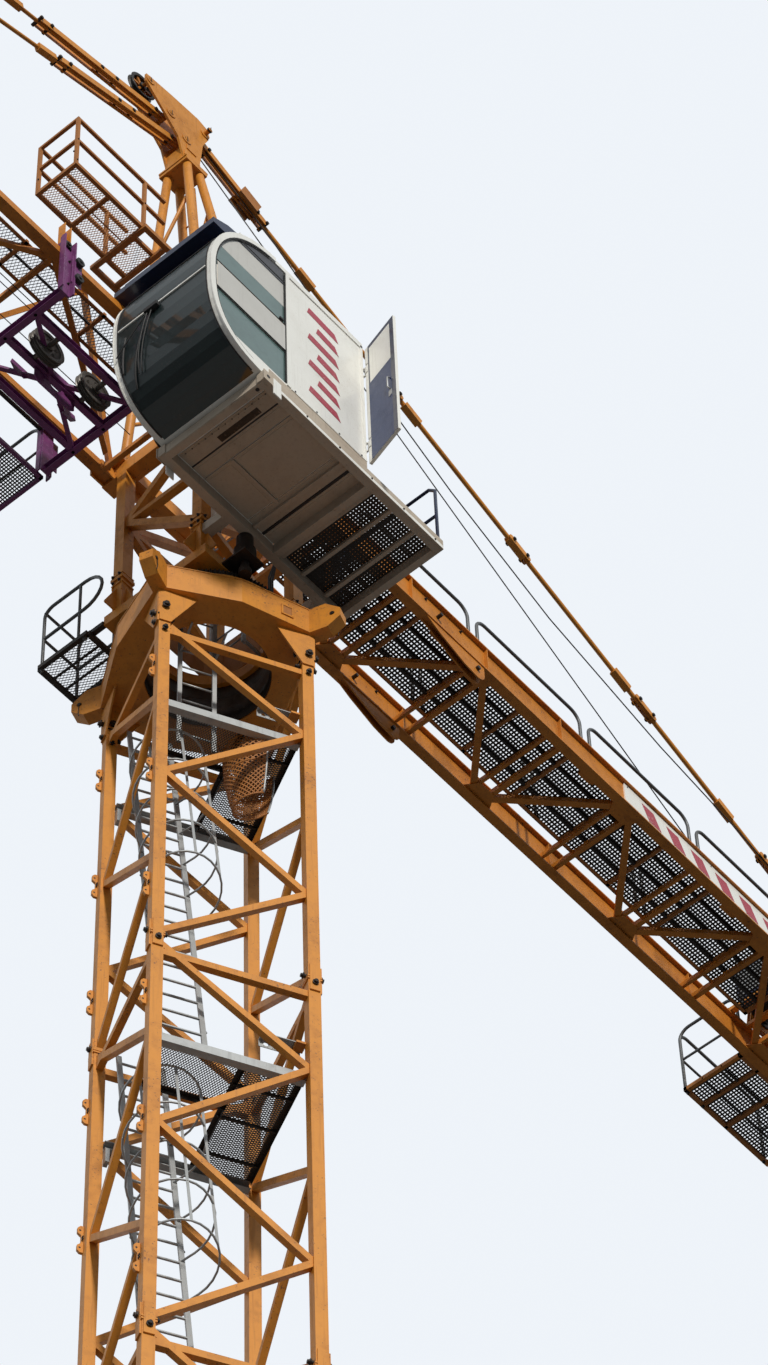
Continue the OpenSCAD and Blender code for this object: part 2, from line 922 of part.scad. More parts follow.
// Curved front pane and the two side panes
module cab_glass() {
    color("steelblue") {
        translate([0, cab_out - 60 - seat, 0])
            rotate([90, 0, 0])
                linear_extrude(height = cab_w - 120 - 2 * seat)
                    intersection() {
                        difference() {
                            polygon(cab_side(2));
                            polygon(cab_side(14));
                        }
                        translate([cab_mid_x + 280 + seat, cab_z - 10])
                            square([1000, cab_h - 90 - seat]);
                    }
        for (y = [cab_y + 26, cab_out - 16])
            translate([0, y, 0])
                rotate([90, 0, 0])
                    linear_extrude(height = 10)
                        difference() {
                            side_window(seat);
                            translate([1300, cab_z + 880 - seat])
                                square([1300, 400 + 2 * seat]);
                        }
    }
}

// Door of the cab, swung open on its hinges
module cab_door() {
    color("white")
    translate([hinge_x, hinge_y, 0])
        rotate([0, 0, 75]) {
            difference() {
                box([14, -18, door_z], [540, 17, cab_z + cab_h - 150]);
                for (z = [door_z + 300, cab_z + cab_h - 600])
                    for (h = [-32, 120])
                        box([0, -40, z + h], [60, 40, z + h + 32]);
            }
            for (z = [door_z + 300, cab_z + cab_h - 600])
                translate([0, 0, z])
                    difference() {
                        union() {
                            cylinder(h = 120, r = 16);
                            translate([0, -8, 0])
                                cube([18, 16, 120]);
                        }
                        translate([0, 0, -1])
                            cylinder(h = 122, r = 8.05);
                    }
        }
}

// Trolley frame with hanging channels and wheels on the bottom chords
module trolley_frame() {
    z = trolley_z;
    o = trolley_y;
    color("purple") {
        for (x = trolley_x) {
            box([x - 60, -o - 12, z - 60], [x + 60, o + 12, z + 60]);
            for (s = [-1, 1]) {
                box([x - 80, s * o - 12, z - 60], [x + 80, s * o + 12, jib_z + 230]);
                for (k = [-1, 1])
                    box([x + k * 80 - 8, min(s * (o + 11), s * (o + 70)), z - 60],
                        [x + k * 80 + 8, max(s * (o + 11), s * (o + 70)), jib_z + 230]);
                translate([x, s * (o - 11), jib_z + 60 + gap + 70])
                    rotate([s * 90, 0, 0])
                        cylinder(h = 60, r = 70);
            }
        }
        for (y = [-430, 0, 430])
            box([trolley_x[0], y - 45, z - 50], [trolley_x[1], y + 45, z + 50]);
    }
}

// Rope sheaves between the trolley beams
module trolley_sheaves() {
    color("dimgray")
    for (x = [2050, 2760])
        translate([x, 215, trolley_z])
            rotate([90, 0, 0]) {
                translate([0, 0, -50])
                    cylinder(h = 100, d = 460);
                translate([0, 0, -170 + seat])
                    cylinder(h = 340 - 2 * seat, d = 60);
            }
}

// Service basket on the side of the trolley
module trolley_basket() {
    z = trolley_z;
    y1 = -trolley_y - 70 - seat;
    x0 = trolley_x[0];
    x1 = trolley_x[1];
    color("dimgray") {
        translate([0, 0, z - 50])
            floor_frame([x0 - 40, -1700, 0], [x1 + 40, y1, 50], 1, 40);
        rail([x0, -1680, z], [x1, -1680, z], 3, 38);
        for (x = [x0, x1])
            rail([x, -1680, z], [x, -960, z], 2, 38);
    }
}

base_frame();
mast_chords();
mast_lacing_a();
mast_lacing_b();
mast_lacing_c();
mast_lacing_d();
mast_platforms();
mast_ladders();
ring_support();
fixed_race();
turning_race();
turret_base();
turret_columns();
turret_bracing();
turret_head();
slew_drive();
balcony();
cathead_legs();
cathead_head();
head_sheave();
cathead_platform();
jib_chords();
jib_lacing_left();
jib_lacing_right();
jib_lacing_bottom();
jib_walkway();
jib_tie_near();
jib_tie_far();
counter_girders();
counter_bracing();
counter_deck();
counter_rail();
side_board();
side_platform();
counterweights();
hoist_winch();
counter_ties();
cab_beams();
cab_shell();
cab_roof();
cab_glass();
cab_door();
trolley_frame();
trolley_sheaves();
trolley_basket();
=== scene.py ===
from math import copysign, cos, pi, radians, sin, sqrt
import bpy
import bmesh
from mathutils import Matrix, Vector


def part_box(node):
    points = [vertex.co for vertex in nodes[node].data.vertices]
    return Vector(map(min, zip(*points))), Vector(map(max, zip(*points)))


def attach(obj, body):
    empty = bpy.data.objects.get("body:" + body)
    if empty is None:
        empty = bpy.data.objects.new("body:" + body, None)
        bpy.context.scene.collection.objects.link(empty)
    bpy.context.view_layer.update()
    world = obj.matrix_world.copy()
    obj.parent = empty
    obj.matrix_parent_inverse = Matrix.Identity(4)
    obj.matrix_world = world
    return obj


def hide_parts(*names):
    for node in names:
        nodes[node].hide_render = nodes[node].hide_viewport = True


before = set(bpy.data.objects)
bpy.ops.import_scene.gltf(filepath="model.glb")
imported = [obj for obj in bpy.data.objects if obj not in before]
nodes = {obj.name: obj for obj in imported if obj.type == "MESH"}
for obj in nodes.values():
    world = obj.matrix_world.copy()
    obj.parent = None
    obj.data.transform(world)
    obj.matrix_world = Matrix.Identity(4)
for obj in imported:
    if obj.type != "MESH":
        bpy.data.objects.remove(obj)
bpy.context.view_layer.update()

# ---- levels and places shared by the pieces, in metres
MAST_TOP = 25.3
SECTIONS = 5
SECTION = 5.0
BASE = 0.3
HALF = 0.765  # from the mast's middle to a chord's middle
MAST_TURN = radians(-27.4)
ON_MAST = Matrix.Rotation(MAST_TURN, 4, "Z")
RACE_TEETH = 132
FLOOR_RISE = 3.75  # resting floor above the foot of its section
TOP_FLOOR = BASE + (SECTIONS - 1) * SECTION + FLOOR_RISE
FASCIA_IN, FASCIA_OUT = HALF + 0.095, HALF + 0.216
TOWER_X, TOWER_Y = 0.72, 0.55
APEX = MAST_TOP + 11.15
LEG_FOOT, LEG_HEAD = MAST_TOP + 4.0, APEX - 1.2
HEAD_PINS = {"counter": (0.30, -0.1), "near": (0.62, -0.656), "far": (0.90, -0.39), "sheave": (1.27, -0.09)}
JIB_Z = MAST_TOP + 3.9
JIB_TOP = JIB_Z + 1.7
JIB_HALF = 0.74
JIB_ROOT = 0.8
JIB_BAY = 2.4
GIRDER_Y = 0.62
GIRDER_Z = MAST_TOP + 3.88
GIRDER_TOP = GIRDER_Z + 0.45
CAB_Z = MAST_TOP + 1.72
CAB_H = 2.52
CAB_TOP = CAB_Z + CAB_H
CAB_IN, CAB_OUT = 0.94, 2.27
CAB_MID = 1.5  # where the cab's front curve begins
CAB_NOSE = 1.01
CAB_POST = 1.36  # rear edge of the side windows
BEARER_Z = MAST_TOP + 1.56
TROLLEY_Z = MAST_TOP + 3.15
TROLLEY_X = (1.66, 3.15)
TROLLEY_SIDE = 0.837
SHEAVE_X = (2.05, 2.76)
SEAT = 0.0003  # gap between parts that rest on each other
AX, AY, AZ, DOWN = (1, 0, 0), (0, 1, 0), (0, 0, 1), (0, 0, -1)
UP = Vector(AZ)


# ---- camera and light
def set_camera():
    lens = bpy.data.cameras.new("ground_camera")
    lens.lens = 120.08
    lens.sensor_width = 36.0
    lens.clip_end = 400.0
    ahead = Vector((-0.4602, -0.3670, 0.8084)).normalized()
    level = ahead.cross(UP).normalized()
    lift = level.cross(ahead)
    roll = radians(-2.522)
    right = level * cos(roll) + lift * sin(roll)
    above = lift * cos(roll) - level * sin(roll)
    place = Vector((20.100, 18.317, MAST_TOP - 37.112))
    camera = bpy.data.objects.new("ground_camera", lens)
    camera.matrix_world = Matrix((
        (right.x, above.x, -ahead.x, place.x),
        (right.y, above.y, -ahead.y, place.y),
        (right.z, above.z, -ahead.z, place.z),
        (0, 0, 0, 1)))
    bpy.context.scene.collection.objects.link(camera)
    bpy.context.scene.camera = camera


def sun(name, direction, strength, angle, colour=(1, 1, 1)):
    lamp = bpy.data.lights.new(name, "SUN")
    lamp.energy = strength
    lamp.angle = radians(angle)
    lamp.color = colour
    holder = bpy.data.objects.new(name, lamp)
    holder.rotation_euler = Vector(direction).to_track_quat("-Z", "Y").to_euler()
    bpy.context.scene.collection.objects.link(holder)


def add_node(tree, kind, inputs=(), **settings):
    """New node with settings and input values."""
    node = tree.nodes.new(kind)
    for key, value in settings.items():
        setattr(node, key, value)
    for key, value in inputs:
        node.inputs[key].default_value = value
    return node


def connect(tree, *pairs):
    for source, target in pairs:
        tree.links.new(source, target)


def set_light():
    """Soft studio dome: dark from below, pale to the camera and through glass, with two suns."""
    world = bpy.data.worlds.new("pale_studio")
    bpy.context.scene.world = world
    world.use_nodes = True
    tree = world.node_tree
    tree.nodes.clear()
    out = add_node(tree, "ShaderNodeOutputWorld")
    pale = add_node(tree, "ShaderNodeBackground", [("Color", (0.86, 0.9, 0.95, 1))])
    soft = add_node(tree, "ShaderNodeBackground", [("Strength", 0.52)])
    coord = add_node(tree, "ShaderNodeTexCoord")
    split = add_node(tree, "ShaderNodeSeparateXYZ")
    height = add_node(tree, "ShaderNodeMapRange", [("From Min", -1.0), ("From Max", 1.0)])
    ramp = add_node(tree, "ShaderNodeValToRGB")
    for stop, place, colour in zip(ramp.color_ramp.elements, (0.36, 0.62),
                                   ((0.10, 0.10, 0.105, 1), (0.88, 0.95, 1.0, 1))):
        stop.position = place
        stop.color = colour
    path = add_node(tree, "ShaderNodeLightPath")
    seen = add_node(tree, "ShaderNodeMath", operation="MAXIMUM")
    mix = add_node(tree, "ShaderNodeMixShader")
    connect(tree,
            (coord.outputs["Generated"], split.inputs[0]), (split.outputs["Z"], height.inputs["Value"]),
            (height.outputs[0], ramp.inputs["Fac"]), (ramp.outputs["Color"], soft.inputs["Color"]),
            (path.outputs["Is Camera Ray"], seen.inputs[0]),
            (path.outputs["Is Transmission Ray"], seen.inputs[1]),
            (seen.outputs[0], mix.inputs["Fac"]), (soft.outputs[0], mix.inputs[1]),
            (pale.outputs[0], mix.inputs[2]),
            (mix.outputs[0], out.inputs["Surface"]))
    sun("key_light", (-0.50, -0.72, -0.42), 2.7, 6, (1.0, 0.97, 0.91))
    sun("fill_light", (-0.35, 0.75, -0.25), 0.35, 40)


# ---- materials
def weathered_group():
    """Base colour with stains, streaks and bare spots that vary over the surface."""
    group = bpy.data.node_groups.new("weathered_surface", "ShaderNodeTree")
    face = group.interface
    for name, kind, value in (
            ("Base", "NodeSocketColor", (0.5, 0.5, 0.5, 1)),
            ("Stain", "NodeSocketColor", (0.2, 0.2, 0.2, 1)),
            ("Bare", "NodeSocketColor", (0.1, 0.1, 0.1, 1)),
            ("Stain Amount", "NodeSocketFloat", 0.4),
            ("Bare Amount", "NodeSocketFloat", 0.2),
            ("Streaks", "NodeSocketFloat", 0.3),
            ("Roughness", "NodeSocketFloat", 0.5),
            ("Grain", "NodeSocketFloat", 60.0)):
        socket = face.new_socket(name=name, in_out="INPUT", socket_type=kind)
        socket.default_value = value
    face.new_socket(name="Color", in_out="OUTPUT", socket_type="NodeSocketColor")
    face.new_socket(name="Roughness", in_out="OUTPUT", socket_type="NodeSocketFloat")
    face.new_socket(name="Height", in_out="OUTPUT", socket_type="NodeSocketFloat")
    link = group.links.new
    ins, outs = add_node(group, "NodeGroupInput"), add_node(group, "NodeGroupOutput")
    place = add_node(group, "ShaderNodeTexCoord")

    def noise(scale, detail, stretch=None, rough=0.55):
        tex = add_node(group, "ShaderNodeTexNoise",
                       [("Scale", scale), ("Detail", detail), ("Roughness", rough)])
        source = place.outputs["Object"]
        if stretch:
            squeeze = add_node(group, "ShaderNodeMapping", [("Scale", stretch)])
            link(source, squeeze.inputs["Vector"])
            source = squeeze.outputs["Vector"]
        link(source, tex.inputs["Vector"])
        return tex

    def math_node(kind, a, b, clamp=False):
        m = add_node(group, "ShaderNodeMath", operation=kind, use_clamp=clamp)
        for i, v in enumerate((a, b)):
            if isinstance(v, float):
                m.inputs[i].default_value = v
            else:
                link(v, m.inputs[i])
        return m.outputs[0]

    def band(value, low, high):
        r = add_node(group, "ShaderNodeMapRange", [("From Min", low), ("From Max", high)],
                     interpolation_type="SMOOTHSTEP")
        link(value, r.inputs["Value"])
        return r.outputs[0]

    def mix(fac, a, b):
        m = add_node(group, "ShaderNodeMix", data_type="RGBA")
        for key, source in (("Factor", fac), (6, a), (7, b)):
            link(source, m.inputs[key])
        return m.outputs[2]

    patches = noise(1.7, 5)
    mottle = noise(9.0, 6)
    streak = noise(1.0, 4, (26, 26, 1.1), 0.6)
    chips = noise(34.0, 3, None, 0.7)
    fine = noise(1.0, 2)
    link(ins.outputs["Grain"], fine.inputs["Scale"])
    soft = band(math_node("ADD", math_node("MULTIPLY", patches.outputs[0], 0.5),
                          math_node("MULTIPLY", mottle.outputs[0], 0.5)), 0.42, 0.68)
    stain = math_node("MULTIPLY", soft, ins.outputs["Stain Amount"], True)
    runs = math_node("MULTIPLY", band(streak.outputs[0], 0.50, 0.72), ins.outputs["Streaks"], True)
    dirt = math_node("MAXIMUM", stain, runs)
    spots = band(math_node("ADD", chips.outputs[0],
                           math_node("MULTIPLY", patches.outputs[0], 0.35)), 0.80, 0.88)
    bare = math_node("MULTIPLY", spots, ins.outputs["Bare Amount"], True)
    shade = add_node(group, "ShaderNodeHueSaturation")
    value = math_node("ADD", 0.9, math_node("MULTIPLY", mottle.outputs[0], 0.2))
    link(value, shade.inputs["Value"])
    link(ins.outputs["Base"], shade.inputs["Color"])
    colour = mix(dirt, shade.outputs["Color"], ins.outputs["Stain"])
    colour = mix(bare, colour, ins.outputs["Bare"])
    link(colour, outs.inputs["Color"])
    rough = math_node("ADD", ins.outputs["Roughness"], math_node("MULTIPLY", dirt, 0.25), True)
    rough = math_node("ADD", rough,
                      math_node("MULTIPLY", math_node("SUBTRACT", fine.outputs[0], 0.5), 0.16), True)
    link(rough, outs.inputs["Roughness"])
    height = math_node("SUBTRACT", math_node("MULTIPLY", fine.outputs[0], 0.5),
                       math_node("MULTIPLY", bare, 0.8))
    link(height, outs.inputs["Height"])
    return group


WEATHER = weathered_group()


def worn_material(name, base, shader_values, stain, bare, stain_amount, bare_amount, streaks, rough, grain):
    """New material with the shared weathering on its colour; gives material, tree, shader and weathering."""
    mat = bpy.data.materials.new(name)
    mat.use_nodes = True
    mat.diffuse_color = (*base, 1)
    tree = mat.node_tree
    shader = tree.nodes["Principled BSDF"]
    for key, value in shader_values:
        shader.inputs[key].default_value = value
    wear = add_node(tree, "ShaderNodeGroup", [
        ("Base", (*base, 1)), ("Stain", (*stain, 1)), ("Bare", (*bare, 1)), ("Stain Amount", stain_amount),
        ("Bare Amount", bare_amount), ("Streaks", streaks), ("Roughness", rough), ("Grain", grain)],
        node_tree=WEATHER)
    connect(tree, (wear.outputs["Color"], shader.inputs["Base Color"]))
    return mat, tree, shader, wear


def finish(name, base, stain, bare, stain_amount, bare_amount, streaks, rough,
           metal=0.0, grain=90.0, bump=0.15, coat=0.0):
    """Painted or bare surface with stains, streaks, chips and fine relief."""
    mat, tree, shader, wear = worn_material(
        name, base, [("Metallic", metal), ("Coat Weight", coat)], stain, bare, stain_amount, bare_amount,
        streaks,
        rough, grain)
    relief = add_node(tree, "ShaderNodeBump", [("Strength", bump), ("Distance", 0.004)])
    connect(tree, (wear.outputs["Roughness"], shader.inputs["Roughness"]),
            (wear.outputs["Height"], relief.inputs["Height"]),
            (relief.outputs["Normal"], shader.inputs["Normal"]))
    return mat


# colours: base, stain and bare; amounts of stain, bare and streaks; roughness, metal, grain, bump, coat
YELLOW = finish("ochre_paint", (0.66, 0.255, 0.026), (0.32, 0.105, 0.010), (0.10, 0.045, 0.025),
                0.55, 0.75, 0.45, 0.46)
ORANGE = finish("jib_paint", (0.58, 0.205, 0.018), (0.27, 0.082, 0.008), (0.10, 0.045, 0.025),
                0.6, 0.8, 0.4, 0.48)
BROWN = finish("red_brown_primer", (0.40, 0.150, 0.030), (0.19, 0.064, 0.015),
               (0.35, 0.16, 0.05), 0.5, 0.5, 0.35, 0.6)
PURPLE = finish("purple_paint", (0.20, 0.045, 0.175), (0.055, 0.013, 0.05), (0.30, 0.17, 0.29),
                0.45, 0.6, 0.4, 0.42)
ZINC = finish("dull_zinc", (0.42, 0.43, 0.43), (0.20, 0.20, 0.20), (0.28, 0.17, 0.10),
              0.5, 0.3, 0.4, 0.5, 0.55)
DARK = finish("dark_mesh", (0.024, 0.019, 0.016), (0.014, 0.010, 0.008), (0.16, 0.08, 0.04),
              0.5, 0.35, 0.3, 0.6)
RAIL = finish("grey_tube", (0.13, 0.135, 0.14), (0.05, 0.05, 0.05), (0.30, 0.20, 0.12),
              0.4, 0.3, 0.3, 0.45, 0.4)
GREASE = finish("greased_steel", (0.06, 0.055, 0.05), (0.015, 0.012, 0.010), (0.25, 0.22, 0.2),
                0.6, 0.4, 0.3, 0.35, 0.7)
WORN = finish("worn_sheave_steel", (0.17, 0.155, 0.14), (0.05, 0.04, 0.032), (0.30, 0.28, 0.25),
              0.6, 0.5, 0.3, 0.38, 0.6)
PIN = finish("black_pin", (0.028, 0.026, 0.025), (0.09, 0.05, 0.03), (0.2, 0.18, 0.16),
             0.4, 0.4, 0.3, 0.4, 0.6)
WHITE = finish("cab_white_paint", (0.88, 0.87, 0.82), (0.45, 0.42, 0.36), (0.30, 0.20, 0.12),
               0.22, 0.2, 0.22, 0.30, 0.0, 60, 0.05, 0.3)
BEIGE = finish("beige_paint", (0.50, 0.42, 0.33), (0.27, 0.21, 0.155), (0.20, 0.12, 0.07),
               0.45, 0.45, 0.3, 0.45)
NAVY = finish("navy_paint", (0.007, 0.014, 0.055), (0.006, 0.008, 0.02), (0.12, 0.13, 0.17),
              0.4, 0.3, 0.2, 0.32, 0.0, 90, 0.08, 0.3)
BLUE = finish("door_blue_paint", (0.012, 0.034, 0.125), (0.015, 0.025, 0.06), (0.2, 0.2, 0.24),
              0.35, 0.3, 0.25, 0.36)
RED = finish("plain_red_stripe", (0.42, 0.055, 0.085), (0.26, 0.04, 0.05), (0.66, 0.62, 0.58),
             0.3, 0.5, 0.3, 0.42)
CONCRETE = finish("cast_concrete", (0.42, 0.41, 0.38), (0.21, 0.20, 0.18), (0.15, 0.14, 0.12),
                  0.55, 0.5, 0.6, 0.85, 0.0, 220, 0.6)
RUBBER = finish("black_rubber", (0.018, 0.018, 0.019), (0.05, 0.045, 0.04), (0.03, 0.03, 0.03),
                0.4, 0.3, 0.2, 0.6)
CABLE = finish("wire_rope", (0.075, 0.072, 0.070), (0.02, 0.018, 0.016), (0.2, 0.18, 0.15),
               0.5, 0.3, 0.1, 0.45, 0.7, 260, 0.5)


def window_glass(name, tint, rough, clear, coat):
    """Tinted pane with a reflecting coat and a little dirt."""
    values = [("Transmission Weight", clear), ("Coat Weight", coat), ("Coat IOR", 2.1),
              ("Coat Roughness", 0.02),
              ("IOR", 1.45)]
    return worn_material(name, tint, values, [c * 0.6 for c in tint], (0.3, 0.33, 0.33),
                         0.5, 0.04, 0.2, rough, 8.0)[0]


GLASS = window_glass("teal_window", (0.006, 0.030, 0.032), 0.02, 0.68, 0.35)
# The next three colours fill the bands just inside the side glass with painted reflection and painted shade of
# the interior: a green one, partly the glass's own green, a dark one at the top, and a pale grey one, which is
# also the own paint of the solid pale band on the cab sides.
GREEN_GLASS_AND_REFLECTION = window_glass("green_glass_and_painted_reflection", (0.17, 0.27, 0.26), 0.06, 0.35, 0.6)
DARK_SHADE_AND_REFLECTION = finish("dark_painted_shade_and_reflection", (0.085, 0.088, 0.10), (0.06, 0.06, 0.07), (0.12, 0.12, 0.13),
               0.3, 0.1, 0.1, 0.5)
PALE_PANEL_AND_REFLECTION = finish("pale_panel_and_painted_reflection", (0.56, 0.55, 0.52), (0.40, 0.39, 0.36), (0.30, 0.29, 0.27),
               0.3, 0.1, 0.25, 0.45)

for mat, names in (
        (YELLOW, "mast_chords mast_lacing_a mast_lacing_b mast_lacing_c mast_lacing_d ring_support turret_base "
                 "turret_columns turret_bracing turret_head cathead_legs cathead_head jib_tie_near jib_tie_far "
                 "counter_ties"),
        (ORANGE, "jib_chords jib_lacing_left jib_lacing_right jib_lacing_bottom counter_girders "
                 "counter_bracing"),
        (ZINC, "base_frame mast_ladders"),
        (PIN, "slew_drive"),
        (DARK, "mast_platforms balcony counter_deck side_platform jib_walkway trolley_basket"),
        (GREASE, "fixed_race turning_race head_sheave trolley_sheaves hoist_winch"),
        (BROWN, "cathead_platform"), (RAIL, "counter_rail"), (CONCRETE, "counterweights"), (BEIGE, "cab_beams"),
        (WHITE, "side_board cab_shell cab_door"), (NAVY, "cab_roof"), (GLASS, "cab_glass"),
        (PURPLE, "trolley_frame")):
    for node in names.split():
        nodes[node].data.materials.clear()
        nodes[node].data.materials.append(mat)


# ---- mesh tools
def across(p, q, side=None):
    """Two unit vectors square to the way from p to q, the second along side where that is given."""
    d = (Vector(q) - Vector(p)).normalized()
    u = d.cross(Vector(side) if side else (UP if abs(d.z) < 0.9 else Vector(AX))).normalized()
    return u, d.cross(u).normalized()


def turns(n, start=0.0):
    """Angles of n equal steps round a full turn."""
    return [start + 2 * pi * k / n for k in range(n)]


def arc(c, u, v, r, last, n=7):
    """Points from u towards v round c, over last degrees."""
    c, u, v = Vector(c), Vector(u), Vector(v)
    angles = [radians(last * k / n) for k in range(n + 1)]
    return [c + u * (r * cos(a)) + v * (r * sin(a)) for a in angles]


def around(d, sides):
    """Unit vectors in a circle round the direction d."""
    u = d.cross(UP if abs(d.z) < 0.9 else Vector(AX)).normalized()
    v = d.cross(u)
    return [u * cos(t) + v * sin(t) for t in turns(sides)]


class Piece:
    """Gathers bars, tubes, plates and bolts into one mesh."""

    def __init__(self, name, body, slot, *materials):
        self.name, self.body, self.slot = name, body, slot
        self.materials = materials
        self.bm = bmesh.new()
        self.turn = Matrix.Identity(4)
        self.mat = 0

    def _face(self, verts):
        try:
            f = self.bm.faces.new(verts)
        except ValueError:
            return None
        f.material_index = self.mat
        return f

    def _row(self, points):
        return [self.bm.verts.new(self.turn @ Vector(p)) for p in points]

    def _wall(self, a, b, smooth=False):
        n = len(a)
        for k in range(n):
            f = self._face((a[k], a[(k + 1) % n], b[(k + 1) % n], b[k]))
            if f:
                f.smooth = smooth

    def prism(self, base, top):
        """Closed solid between two matching loops."""
        a, b = self._row(base), self._row(top)
        self._face(list(reversed(a)))
        self._face(b)
        self._wall(a, b)

    def block(self, low, high):
        """Box between two corners, given in any order."""
        (x0, x1), (y0, y1), (z0, z1) = (sorted(pair) for pair in zip(low, high))
        self.prism([(x0, y0, z0), (x1, y0, z0), (x1, y1, z0), (x0, y1, z0)],
                   [(x0, y0, z1), (x1, y0, z1), (x1, y1, z1), (x0, y1, z1)])

    def bar(self, p, q, w, h, side=None):
        """Square bar from p to q: w across, h along side."""
        p, q = Vector(p), Vector(q)
        u, v = across(p, q, side)
        loop = [u * (a * w / 2) + v * (b * h / 2) for a, b in ((-1, -1), (1, -1), (1, 1), (-1, 1))]
        self.prism([p + c for c in loop], [q + c for c in loop])

    def tube(self, points, r, sides=8):
        """Round tube along the points, widened a little at bends."""
        pts = [Vector(p) for p in points]
        rows = []
        last = None
        for i, p in enumerate(pts):
            a = (p - pts[i - 1]) if i else None
            b = (pts[i + 1] - p) if i < len(pts) - 1 else None
            d = (a.normalized() if a else Vector()) + (b.normalized() if b else Vector())
            d.normalize()
            if last is None:
                last = d.cross(UP if abs(d.z) < 0.9 else Vector(AX)).normalized()
            u = last = (last - d * last.dot(d)).normalized()
            v = d.cross(u)
            stretch = 1.0 / max(0.5, cos(a.angle(b, 0.0) / 2)) if a and b else 1.0
            wide = r * (1 + (stretch - 1) * 0.5)
            rows.append(self._row([p + (u * cos(t) + v * sin(t)) * wide for t in turns(sides)]))
        for a, b in zip(rows, rows[1:]):
            self._wall(a, b, True)
        self._face(list(reversed(rows[0])))
        self._face(rows[-1])

    def disc(self, centre, axis, r, h, sides=24, hole=0.0):
        """Round plate from centre along axis, with a hole if wanted."""
        c, d = Vector(centre), Vector(axis).normalized()
        ring = around(d, sides)
        if not hole:
            self.prism([c + q * r for q in ring], [c + d * h + q * r for q in ring])
            return
        rows = [self._row([c + d * z + q * rr for q in ring]) for z,
                rr in ((0, hole), (0, r), (h, r), (h, hole))]
        for i in range(4):
            self._wall(rows[i], rows[(i + 1) % 4])

    def turned(self, centre, axis, profile, sides=32, ring_shaped=False):
        """Closed profile of (radius, along) turned about an axis."""
        c, d = Vector(centre), Vector(axis).normalized()
        ring = around(d, sides)
        rows = [self._row([c + d * z + q * max(r, 0.0005) for q in ring]) for r, z in profile]
        for i in range(len(rows) - (0 if ring_shaped else 1)):
            self._wall(rows[i], rows[(i + 1) % len(rows)], True)
        if not ring_shaped:
            self._face(rows[0])
            self._face(list(reversed(rows[-1])))

    def bolt(self, p, axis, r, h):
        """Hexagon head on a washer, with its thread end."""
        p, d = Vector(p), Vector(axis).normalized()
        self.disc(p, d, r * 1.35, h * 0.18, 10)
        self.disc(p + d * h * 0.18, d, r, h * 0.62, 6)
        self.disc(p + d * h * 0.8, d, r * 0.55, h * 0.35, 6)

    def pin(self, c, axis, r, half, sides, head, cap, caps):
        """Pin through c, half long each way, with caps (radius, thickness) that start at head from c."""
        c, a = Vector(c), Vector(axis)
        self.disc(c - a * half, a, r, 2 * half, sides)
        for s in (-1, 1):
            self.disc(c + a * (s * head), a * s, cap[0], cap[1], caps)

    def outline(self, points, origin, u, v, thick):
        """Flat plate: points (a, b) laid on u and v from origin, with thickness."""
        o, u, v = Vector(origin), Vector(u), Vector(v)
        w = u.cross(v).normalized() * thick
        self.prism([o + u * a + v * b for a, b in points], [o + w + u * a + v * b for a, b in points])

    def grating(self, origin, u, v, length, width, pitch, w=0.006, h=0.02):
        """Open mesh of crossing flats laid from origin along u and v."""
        o, u, v = Vector(origin), Vector(u).normalized(), Vector(v).normalized()
        rise = u.cross(v).normalized()
        n = max(1, round(length / pitch))
        for i in range(n + 1):
            a = o + u * (length * i / n)
            self.bar(a, a + v * width, w, h, rise)
        m = max(1, round(width / pitch))
        for i in range(m + 1):
            a = o + v * (width * i / m)
            self.bar(a, a + u * length, w, h * 0.9, rise)

    def done(self, bevel=0.0, *replaced):
        mesh = bpy.data.meshes.new(self.name)
        bmesh.ops.recalc_face_normals(self.bm, faces=self.bm.faces)
        self.bm.to_mesh(mesh)
        self.bm.free()
        for m in self.materials:
            mesh.materials.append(m)
        obj = bpy.data.objects.new(self.name, mesh)
        bpy.context.scene.collection.objects.link(obj)
        if bevel:
            edge = obj.modifiers.new("soft_edges", "BEVEL")
            edge.width = bevel
            edge.segments = 2
            edge.limit_method = "ANGLE"
            edge.angle_limit = radians(40)
        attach(obj, self.body)
        if replaced:
            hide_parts(*replaced)
        return obj


def expanded(piece, origin, u, v, length, width, pitch, w=0.004, h=0.012, slope=1.7):
    """Diamond mesh of slanting strands inside a rectangle laid on u and v."""
    o, u, v = Vector(origin), Vector(u).normalized(), Vector(v).normalized()
    rise = u.cross(v).normalized()
    run = width / slope
    count = int((length + run) / pitch)
    for lean in (1, -1):
        for i in range(count + 1):
            a = i * pitch - run if lean > 0 else i * pitch
            b = a + run * lean
            ta = max(0.0, min(1.0, (0 - a) / (b - a)))
            tb = max(0.0, min(1.0, (length - a) / (b - a)))
            t0, t1 = min(ta, tb), max(ta, tb)
            if t1 - t0 < 0.02 or (a < 0 and b < 0) or (a > length and b > length):
                continue
            p = o + u * (a + (b - a) * t0) + v * (width * t0)
            q = o + u * (a + (b - a) * t1) + v * (width * t1)
            piece.bar(p, q, w, h, rise)


def section(piece, p, q, shape, side):
    """Rolled section drawn as (across, along side) points, run from p to q."""
    p, q = Vector(p), Vector(q)
    u, v = across(p, q, side)
    piece.prism([p + u * a + v * b for a, b in shape], [q + u * a + v * b for a, b in shape])


def channel_shape(w, h, t):
    """Outline of a channel, w wide and h high, t thick."""
    return [(0, 0), (w, 0), (w, t), (t, t), (t, h - t), (w, h - t), (w, h), (0, h)]


